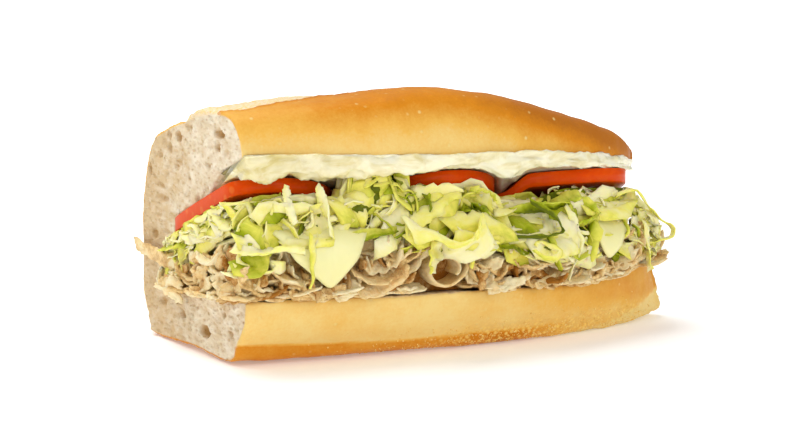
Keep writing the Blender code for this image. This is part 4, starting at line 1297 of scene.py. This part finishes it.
class SANDWICH_OT_lettuce(bpy.types.Operator):
    """Makes the shredded lettuce: thin crinkled ribbons heaped over a core"""

    bl_idname = "sandwich.lettuce"
    bl_label = "Lettuce"
    steps = 13
    threads = (7, 11, 16)

    def execute(self, context):
        settings = context.scene.sandwich_lettuce
        draw = random.Random(7)
        others = trees_of("bread_roll", *TOMATO_NODES, *CHEESE_NODES)
        core = self.core()
        made = settle(lambda index: self.ribbon(draw, index), settings.shreds, 0.5 * MM, core, others)
        # The core is painted dark olive, as painted shade in the gaps between the ribbons.
        join_pieces(core, made, "leaf", 0.95, 0.8)
        finish_piece(core, "lettuce", lettuce_material(settings), "lettuce_shreds")
        return {"FINISHED"}

    def core(self):
        """The plain inside of the heap, from over the cheese to under the tomatoes."""

        def low(x, y):
            slope = (meat_top(x, -20 * MM) - meat_top(x, 10 * MM)) / (30 * MM)
            return meat_top(x, y) + LETTUCE_LIFT * math.hypot(1, slope)

        def high(x, y):
            below = blend(3.0, 1.6, smooth(0, 24 * MM, x)) * MM
            return max(tomato_bottom(x, y) - below, low(x, y) + 0.8 * MM)

        def back(x):
            plain = 8 * MM - 12 * MM * clamp((x - CUT_X) / (60 * MM), 0, 1)
            return blend(plain, filling_back(x, 17 * MM) - 1 * MM, smooth(30 * MM, 48 * MM, x))

        return core_solid("lettuce", low, high, back, 7 * MM, 3 * MM, 73 * MM)

    def front(self, x, up, out):
        """A point on the front of the lettuce, this far above the bend of the cheese and out of the heap."""
        bend_y = filling_front(x) + DRAPE_SETBACK
        low, high = meat_top(x, bend_y), self.ceiling(x)
        set_back = clamp(up / max(high - low, 1 * MM), 0, 1) ** 0.8
        y = blend(bend_y - DRAPE_RADIUS - 2.5 * MM, lip_y(x) + 3 * MM, set_back)
        return Vector((x, y - out, low + up))

    def ceiling(self, x):
        """Height of the tomatoes' underside at their front."""
        sag = TOMATO_SAG * smooth(0, 10 * MM, x)
        return tomato_top(x, lip_y(x) + 4 * MM, sag, UNDER_SAG_TO) - TOMATO_THICK

    def room(self, x):
        """Height of the lettuce's front at this x."""
        return self.ceiling(x) - meat_top(x, filling_front(x) + DRAPE_SETBACK)

    def below_tomato(self, x, width):
        """How far under the tomatoes a ribbon of this width stays: further by the cut."""
        return -0.3 * width - 2.5 * MM * (x < -48 * MM)

    def ribbon(self, draw, index):
        """The middle of one ribbon, and how green it is."""
        kind = index % 20
        seed = draw.uniform(0, 90)
        if 0 <= index - STRANDS_FROM < len(STRANDS):
            return self.strand(draw, *STRANDS[index - STRANDS_FROM])
        if kind in (6, 14, 18):
            wide = index % 40 in (6, 34)
            width, rows = (draw.uniform(5, 8) if wide else draw.uniform(2.0, 4.6)) * MM, 5 if wide else 3
            points, outward = self.cut_path(draw, index, seed, width, wide), Vector((-1, -0.3, 0.4))
        elif kind == 19 or index % 40 == 15:
            width, rows = draw.uniform(2.5, 6) * MM, 3
            points, outward = self.back_path(draw, index, seed), Vector((0.2, 1, 0.4))
        else:
            wide = kind in (2, 5, 8, 13, 17)
            width = draw.uniform(6.5, 12) * MM if wide else draw.uniform(2.4, 5.6) * MM
            width = draw.uniform(1.2, 1.8) * MM if kind in self.threads else width
            points, outward = self.front_path(draw, index, seed, width), Vector((0, -1, 0.4))
            rows = 6 if wide else 3
        tint = draw.choice((0.0, 0.06, 0.16, 0.28, 0.42, 0.7)) + draw.uniform(-0.05, 0.06)
        tint += self.greener(points[self.steps // 2])
        tilt = draw.gauss(0, 0.4)
        return self.cloth(points, outward, width, tilt, seed, rows), clamp(tint, 0, 1)

    def greener(self, point):
        """The outer leaves lie high up near the cut and under the second tomato's near end."""
        high = smooth(-8 * MM, 0, point.z - self.ceiling(point.x))
        return 0.3 * high * smooth(-92 * MM, -80 * MM, point.x) * (1 - smooth(-24 * MM, -12 * MM, point.x))

    def front_path(self, draw, index, seed, width):
        """The middle line of a ribbon on the front of the heap."""
        kind = index % 20
        thread, inner, hangs = kind in self.threads, kind in (1, 4, 9, 12, 17), index % 40 == 20
        x = blend(CUT_X + 1 * MM, 80 * MM, (index * 0.618 + draw.uniform(0, 0.04)) % 1)
        between = -47 * MM < x < -30 * MM
        top = self.room(x) + (9 * MM if between else self.below_tomato(x, width))
        up = draw.uniform(-5 * MM, top)
        out = (draw.uniform(-8, -2) if inner else draw.uniform(-2, 2.5)) * MM
        heading = ((index * 0.382) % 1 - 0.5) * 1.7 + draw.uniform(-0.25, 0.25)
        length, bend = draw.uniform(13, 32) * MM, draw.gauss(0, 0.07)
        curl = draw.uniform(0.5, 2.0) * MM
        if thread:
            bend, curl = draw.choice((-1, 1)) * draw.uniform(0.08, 0.3), curl * 1.6
        if index % 20 == 10 and x < -56 * MM:
            heading, up, length, bend = draw.uniform(-0.1, 0.15), draw.uniform(-4, 1) * MM, 28 * MM, 0
        if hangs:
            heading, up, bend = draw.uniform(-2.0, -1.1), draw.uniform(0, 6) * MM, 0
            length, out = draw.uniform(12, 19) * MM, draw.uniform(2, 7) * MM
        kink_at, kink = draw.randrange(3, self.steps), draw.choice((0, 0, 0, 0.6, -0.6))
        furthest = 84 * MM if thread else 79 * MM
        points = []
        for i in range(self.steps + 1):
            shows = any(low < x < high for low, high in CHEESE_SHOWS)
            least = -30 * MM if hangs else -2 * MM if shows else -8 * MM
            most = self.room(x) + (8 * MM if -48 * MM < x < -29 * MM else self.below_tomato(x, width))
            wave = curl * 2 * noise.noise(Vector((i * 0.25, seed, 0)))
            points.append(self.front(x, clamp(up, least, max(most, least)), out + wave))
            x = clamp(x + math.cos(heading) * length / self.steps, CUT_X - 2 * MM, furthest)
            up += math.sin(heading) * length / self.steps
            heading += bend + (kink if i == kink_at else 0)
        return points

    def back_path(self, draw, index, seed):
        """The middle line of a ribbon at the back by the tip, where the roll is open there too."""
        x = blend(44 * MM, 76 * MM, index * 0.618 % 1)
        level, out = draw.uniform(0.1, 0.9), draw.uniform(-3, 2.5) * MM
        heading, length = draw.uniform(-0.4, 0.4), draw.uniform(10, 22) * MM
        points = []
        rise = 0
        for i in range(self.steps + 1):
            y = filling_back(x, 22 * MM) + out + 1.5 * MM * noise.noise(Vector((i * 0.3, seed, 0)))
            low, high = meat_top(x, y) + 3.5 * MM, tomato_bottom(x, y)
            points.append(Vector((x, y, blend(low, max(high, low), level) + rise)))
            x = clamp(x + math.cos(heading) * length / self.steps, 42 * MM, 78 * MM)
            rise += math.sin(heading) * length / self.steps
        return points

    def cut_path(self, draw, index, seed, width, wide):
        """The middle line of a ribbon along the cut, between the cheese and the tomato."""
        y = blend(-38 * MM, 14 * MM, (index * 0.618 + draw.uniform(0, 0.05)) % 1)
        level, out = draw.uniform(0.1, 0.9), draw.uniform(-2.0, 2.5) * MM
        heading, bend = draw.uniform(-0.5, 0.5), draw.gauss(0, 0.1)
        length = draw.uniform(10, 24) * MM
        if wide:
            level, heading, length = 0.1, 0.1, draw.uniform(20, 30) * MM
        points = []
        rise = 0
        for i in range(self.steps + 1):
            x = cut_x(y) + out
            low, high = meat_top(x, y) + 3.5 * MM, tomato_bottom(x, y)
            wave = 1.6 * MM * noise.noise(Vector((i * 0.3, seed, 0)))
            z = min(blend(low, max(high, low), level) + rise, max(high - 0.4 * width, low))
            points.append(Vector((x + wave, y, z)))
            y = clamp(y + math.cos(heading) * length / self.steps, -50 * MM, 17 * MM)
            rise += math.sin(heading) * length / self.steps
            heading += bend
        return points

    def strand(self, draw, width, tint, through):
        """One of STRANDS, its points joined by a smooth curve and brought forward by up to 3 mm."""
        line = [Vector(p) * MM for p in through]
        out, last = draw.uniform(0, 3) * MM, len(line) - 1
        points = []
        for i in range(self.steps * 2 + 1):
            place = last * i / (self.steps * 2)
            k = min(int(place), last - 1)
            near = [line[clamp(n, 0, last)] for n in (k - 1, k, k + 1, k + 2)]
            points.append(on_curve(*near, place - k) - Vector((0, out, 0)))
        outward = Vector((0, -1, 0.3))
        return self.cloth(points, outward, width * MM, 0.3, width, 8 if width > 6 else 3), tint

    def cloth(self, points, outward, width, tilt, seed, rows):
        """A crinkled strip along the points, its face turned outward."""
        twist = 0.12 * math.sin(seed * 3)
        last = len(points) - 1
        grid = []
        for i, point in enumerate(points):
            along = (points[min(i + 1, last)] - points[max(i - 1, 0)]).normalized()
            side = along.cross(outward).normalized()
            angle = tilt + twist * i + 0.7 * noise.noise(Vector((i * 0.28, seed, 5)))
            across = side * math.cos(angle) + side.cross(along) * math.sin(angle)
            up = across.cross(along).normalized()
            jag = 1 + 0.35 * noise.noise(Vector((i * 0.9, seed, 8)))
            jag *= 0.55 + 0.45 * math.sin(math.pi * clamp(0.12 + 0.8 * i / last, 0, 1))
            row = []
            for k in range(rows + 1):
                t = k / rows - 0.5
                ruffle = noise.fractal(Vector((i * 0.35, t * width / (4 * MM), seed)), 0.9, 2.0, 2)
                cup = (0.25 - t * t) * width * 0.9 * math.sin(seed)
                slant = along * (t * width * 0.6 * math.sin(seed * 2))
                row.append(point + across * (t * width * jag) + up * (cup + 0.6 * MM * ruffle) + slant)
            grid.append(row)
        return grid


def meat_material(settings):
    made, tree, shader = new_material("meat", 0.5, (0.1, 0.002, (1.0, 0.55, 0.3)), Specular_IOR_Level=0.15)
    points = object_points(tree)
    blotch = noise_at(tree, points, 130, 4, 0.6, 0.5)
    grain = noise_at(tree, points, 900, 4, 0.65)
    tone = number(tree, "ADD", painted(tree, "tint"), remap(tree, blotch, 0.3, 0.7, -0.35, 0.35))
    tone = number(tree, "ADD", tone, remap(tree, grain, 0.3, 0.7, -0.15, 0.15), limit=True)
    # The brown end colours darker flakes and, as painted shade, the core between them.
    stops = [(0.0, settings.pale), (0.5, rgb(240, 206, 142)), (1.0, settings.brown_and_shade)]
    wire(shader, "Base Color", ramp(tree, tone, stops))
    relief = number(tree, "ADD", number(tree, "MULTIPLY", blotch, 2.0), number(tree, "MULTIPLY", grain, 0.9))
    bump(tree, shader, relief, 0.9, 0.7 * MM)
    return made


class SANDWICH_OT_meat(bpy.types.Operator):
    """Makes the shaved meat: crumpled flakes heaped over a core, and one slice rolled up at the front"""

    bl_idname = "sandwich.meat"
    bl_label = "Meat"
    columns = 13
    rows = 7

    def execute(self, context):
        settings = context.scene.sandwich_meat
        draw = random.Random(11)
        others = trees_of("bread_roll", *CHEESE_NODES)
        core = self.core()
        made = settle(lambda index: self.piece(draw, index), settings.flakes, 1.2 * MM, core, others)
        # The core is painted the brown end of the ramp, as painted shade in the gaps between the flakes.
        join_pieces(core, made, "tint", 1.0, 0.45)
        finish_piece(core, "meat", meat_material(settings), "shaved_meat")
        return {"FINISHED"}

    def core(self):
        """The plain inside of the heap, from the lower cut to under the cheese."""

        def low(x, y):
            return lower_cut(x, y) + GAP

        def high(x, y):
            return max(meat_top(x, y) - 1.8 * MM, lower_cut(x, y) + 3 * MM)

        def back(x):
            return filling_back(x, DRAPE_BACK_Y - 2 * MM)

        return core_solid("meat", low, high, back, 7 * MM, 1.5 * MM, 82 * MM)

    def piece(self, draw, index):
        """One flake and how brown it is; one that is in the way is shrunk to a point, which is never kept."""
        if index == 0:
            return self.roll_up(), 0.3
        if index == 1:
            return self.tongue(), 0.45
        x = blend(CUT_X + 2 * MM, 84 * MM, index * 0.618 % 1)
        side = "cut" if index % 4 == 0 else "back" if index % 11 == 5 else "front"
        grid = self.flake(draw, x, side, index % 6 == 1, index % 5 == 2)
        if any(self.in_the_way(p) for row in grid for p in row):
            return grid_of(self.columns, self.rows, lambda i, j: Vector((0, 0, 0))), 0
        return grid, clamp(draw.gauss(0.35, 0.25), 0, 1)

    def in_the_way(self, p):
        """True before the rolled-up slice, in the lettuce, and where it would hang over the lower crust."""
        mouth_x, mouth_y, mouth_z = MEAT_ROLL
        lip = -HALF_WIDTH * taper(share(p.x, BOTTOM_TIP_X))
        bend_y = filling_front(p.x) + DRAPE_SETBACK
        highest = meat_top(p.x, max(p.y, bend_y)) + blend(2 * MM, 9 * MM, smooth(45 * MM, 60 * MM, p.x))
        if p.z > highest or p.x > 94 * MM:
            return True
        if p.y < mouth_y + 9 * MM and math.hypot((p.x - mouth_x) * 0.9, p.z - mouth_z) < 8.5 * MM:
            return True
        return p.y < lip + 1 * MM and p.z < lower_cut(p.x, lip) - 0.8 * MM and p.x > CUT_X + 4 * MM

    def roll_up(self):
        """The slice that is rolled into an open tube, its mouth to the front."""
        x, y, z = MEAT_ROLL
        around, along = 44, 7

        def place(i, j):
            t = i / around
            angle = 2 * math.pi * 1.48 * t - 0.6
            wavy = 1 + 0.05 * math.sin(angle * 3)
            radius = 7.2 * MM * blend(0.55, 1.0, t) * wavy + 2.2 * MM * smooth(0.85, 1, t)
            back = 12 * MM * j / along
            ragged = 0.7 * MM * noise.noise(Vector((t * 9, j * 0.8, 1))) * (1 if j else 2)
            flare = 1 + 0.1 * math.sin(math.pi * j / along)
            across = x + radius * flare * math.cos(angle) * 1.2
            return Vector((across, y + back + ragged, z + radius * flare * math.sin(angle) * 0.92))

        return grid_of(around + 1, along + 1, place)

    def tongue(self):
        """The long flake that hangs out of the cut at the back."""
        along, across = 18, 5

        def place(i, j):
            t, v = i / along, j / across - 0.5
            y = blend(2, 43, t) * MM
            away = cut_x(y) + blend(5, -2.6, smooth(0, 0.3, t)) * MM
            middle = Vector((away, y, blend(29, 33.0, t) * MM))
            width = (7.0 - 2.0 * t + 2.2 * noise.noise(Vector((t * 7, 4, 1)))) * MM
            crumple = 0.7 * MM * noise.fractal(Vector((t * 8, v * 2, 7)), 0.8, 2.0, 3)
            return middle + Vector((crumple - 1.2 * MM * v, 0, width * v + 0.8 * crumple))

        return grid_of(along + 1, across + 1, place)

    def flake(self, draw, x, side, sheet, flat):
        """One shaved slice, bent, crumpled and ragged, by the front of the heap, the cut or the open back."""
        if side == "cut":
            y = draw.uniform(-42, 31) * MM
            x = cut_x(y) + draw.uniform(-5, 4) * MM
            yaw = draw.uniform(50, 130)
        elif side == "back":
            x = draw.uniform(44, 84) * MM
            y = filling_back(x, 22 * MM) + draw.uniform(-3, 2) * MM
            yaw = draw.uniform(-40, 40)
        else:
            y = filling_front(x) + draw.uniform(-3.5, 5) * MM
            yaw = draw.uniform(-40, 40)
        z = blend(lower_cut(x, y), meat_top(x, y), draw.uniform(0, 0.95))
        if sheet:
            width, depth = draw.uniform(14, 22) * MM, draw.uniform(7, 11) * MM
            coil, crush, cell = draw.uniform(5, 14) * MM, draw.uniform(0.8, 1.6) * MM, 4.5 * MM
        else:
            width, depth = draw.uniform(9, 19) * MM, draw.uniform(3.0, 6.5) * MM
            coil, crush, cell = draw.uniform(4, 13) * MM, draw.uniform(0.5, 1.2) * MM, 3.0 * MM
        lean, seed = draw.uniform(-0.8, 0.8), draw.uniform(0, 90)
        angles = draw.uniform(-20, 95), draw.uniform(-28, 28), yaw
        if flat:
            z = lower_cut(x, y) + draw.uniform(0.7, 2.2) * MM
            coil, crush = 30 * MM, 0.6 * MM
            angles = draw.uniform(-2, 12), draw.uniform(-8, 8), yaw
        turn = Euler([math.radians(v) for v in angles])

        def place(i, j):
            u, v = i / (self.columns - 1) - 0.5, j / (self.rows - 1) - 0.5
            torn = 0.35 * noise.fractal(Vector((u * 8, v * 2, seed)), 0.8, 2.0, 2)
            ragged = 1 - 0.3 * abs(2 * u) ** 3 + torn
            a = u * width * (1 + 0.2 * noise.noise(Vector((v * 6, seed, 2))))
            b = v * depth * ragged
            around = (a + lean * b) / coil
            crumple = noise.fractal(Vector((a / cell, b / cell, seed)), 0.8, 2.0, 3)
            crease = abs(noise.noise(Vector((a / cell * 0.7 + 9, b / cell * 0.7, seed))))
            lift = coil * (1 - math.cos(around)) + crush * (crumple + 1.4 * crease)
            off = Vector((coil * math.sin(around), b, lift))
            off.rotate(turn)
            return Vector((x, y, z)) + off

        return grid_of(self.columns, self.rows, place)


# The cornmeal that the roll was baked on.


class SANDWICH_OT_cornmeal(bpy.types.Operator):
    """Scatters fine cornmeal along the lower edge of the crust"""

    bl_idname = "sandwich.cornmeal"
    bl_label = "Cornmeal"

    def execute(self, context):
        tree = tree_of(bpy.data.objects["roll"])
        draw = random.Random(3)
        bpy.ops.object.select_all(action="DESELECT")
        bpy.ops.mesh.primitive_ico_sphere_add(subdivisions=1, radius=1)
        grain = bpy.context.active_object
        shape = coordinates(grain.data)
        cells = [tuple(p.vertices) for p in grain.data.polygons]
        bpy.data.objects.remove(grain)
        vertices, faces = [], []
        while len(faces) < context.scene.sandwich_cornmeal.grains * len(cells):
            x = draw.triangular(-60, 92, 60) * MM
            z = abs(draw.gauss(3, 3.6)) * MM
            start = Vector((x, -80 * MM, z))
            hit, normal, _, _ = tree.ray_cast(start, Vector((draw.uniform(-0.2, 0.1), 1, 0)))
            if hit is None or hit.z > 15 * MM or hit.z < 0.5 * MM or normal.y > -0.1:
                continue
            size = draw.uniform(0.14, 0.30) * MM
            turn = Euler([draw.uniform(0, 6) for _ in range(3)]).to_matrix()
            stretch = np.array([draw.uniform(0.7, 1.5) for _ in range(3)])
            faces += [tuple(len(vertices) + k for k in cell) for cell in cells]
            vertices += [hit + turn @ Vector(point) for point in shape * stretch * size]
        meal = add_object("cornmeal", vertices, faces)
        finish_piece(meal, "roll", self.material(context.scene.sandwich_cornmeal))
        return {"FINISHED"}

    def material(self, settings):
        made, tree, shader = new_material("cornmeal", 0.6)
        tint = remap(tree, noise_at(tree, object_points(tree), 700, 2), 0.35, 0.65)
        wire(shader, "Base Color", mix_colour(tree, tint, settings.pale, settings.golden))
        return made


# The studio.

CAMERA_PLACE = (-0.3134, -0.7445, 0.1556)
CAMERA_LOOK = (0.3710, 0.9182, -0.1392)


class SANDWICH_OT_stage(bpy.types.Operator):
    """Makes the floor, the lights and the camera"""

    bl_idname = "sandwich.stage"
    bl_label = "Stage"

    def execute(self, context):
        settings = context.scene.sandwich_stage
        bpy.ops.object.select_all(action="DESELECT")
        bpy.ops.mesh.primitive_plane_add(size=12, location=(0, 0, 0))
        floor = context.active_object
        floor.name = "floor"
        floor.data.materials.append(self.floor_material(settings))

        self.light("key", (-0.35, 0.35, 1.15), 1.1, settings.key_power)
        self.light("front", (0.25, -1.5, 0.85), 1.3, settings.fill_power)
        self.light("side", (-1.3, -0.35, 0.6), 0.9, settings.fill_power * 0.22)
        context.scene.world = self.surround(settings)

        bpy.ops.object.camera_add(location=CAMERA_PLACE)
        camera = context.active_object
        camera.name = "camera"
        self.aim(camera, Vector(CAMERA_LOOK))
        camera.data.lens = 100
        camera.data.sensor_width = 36
        camera.data.clip_start = 0.05
        context.scene.camera = camera
        context.scene.view_settings.view_transform = "Standard"
        return {"FINISHED"}

    def surround(self, settings):
        """White where it is seen, and dimmer as a light."""
        world = bpy.data.worlds.new("studio")
        world.use_nodes = True
        tree = world.node_tree
        background = tree.nodes["Background"]
        seen = add_node(tree, "ShaderNodeLightPath").outputs["Is Camera Ray"]
        wire(background, "Strength", remap(tree, seen, 0, 1, settings.surround, 1.05))
        background.inputs["Color"].default_value = (1, 1, 1, 1)
        return world

    def floor_material(self, settings):
        """White, and lit from within further out, so that it runs into the white surround."""
        made, tree, shader = new_material("floor", 0.8, Specular_IOR_Level=0.1, Emission_Color=(1, 1, 1, 1))
        points = object_points(tree)
        lighter = tuple(min(v * 1.03, 1) for v in settings.floor)
        wire(shader, "Base Color", mix_colour(tree, noise_at(tree, points, 3, 2), settings.floor, lighter))
        away = add_node(tree, "ShaderNodeVectorMath", {0: points}, operation="LENGTH").outputs["Value"]
        wire(shader, "Emission Strength", remap(tree, away, 0.25, 1.0, settings.floor_glow, 0.9))
        return made

    def aim(self, obj, look):
        obj.rotation_mode = "QUATERNION"
        obj.rotation_quaternion = look.to_track_quat("-Z", "Y")

    def light(self, name, place, size, power):
        bpy.ops.object.light_add(type="AREA", location=place)
        light = bpy.context.active_object
        light.name = name
        light.data.shape = "SQUARE"
        light.data.size = size
        light.data.energy = power
        self.aim(light, Vector((0, 0, 0.04)) - Vector(place))


PIECES = (
    SANDWICH_OT_roll,
    SANDWICH_OT_mayonnaise,
    SANDWICH_OT_tomatoes,
    SANDWICH_OT_cheese,
    SANDWICH_OT_lettuce,
    SANDWICH_OT_meat,
    SANDWICH_OT_cornmeal,
    SANDWICH_OT_stage,
)

SETTINGS = {
    "sandwich_roll": SandwichRoll,
    "sandwich_spread": SandwichSpread,
    "sandwich_tomato": SandwichTomato,
    "sandwich_cheese": SandwichCheese,
    "sandwich_lettuce": SandwichLettuce,
    "sandwich_meat": SandwichMeat,
    "sandwich_cornmeal": SandwichCornmeal,
    "sandwich_stage": SandwichStage,
}


class SANDWICH_PT_pieces(bpy.types.Panel):
    bl_label = "Submarine sandwich"
    bl_space_type = "VIEW_3D"
    bl_region_type = "UI"
    bl_category = "Sandwich"

    def draw(self, context):
        for piece in PIECES:
            self.layout.operator(piece.bl_idname)
        for name, group in SETTINGS.items():
            box = self.layout.box()
            for key in group.__annotations__:
                box.prop(getattr(context.scene, name), key)


def register():
    for cls in (*SETTINGS.values(), *PIECES, SANDWICH_PT_pieces):
        bpy.utils.register_class(cls)
    for name, group in SETTINGS.items():
        setattr(bpy.types.Scene, name, bpy.props.PointerProperty(type=group))


def unregister():
    for name in SETTINGS:
        delattr(bpy.types.Scene, name)
    for cls in reversed((*SETTINGS.values(), *PIECES, SANDWICH_PT_pieces)):
        bpy.utils.unregister_class(cls)


def main():
    register()
    for piece in PIECES:
        group, name = piece.bl_idname.split(".")
        getattr(getattr(bpy.ops, group), name)()


if __name__ == "__main__":
    main()
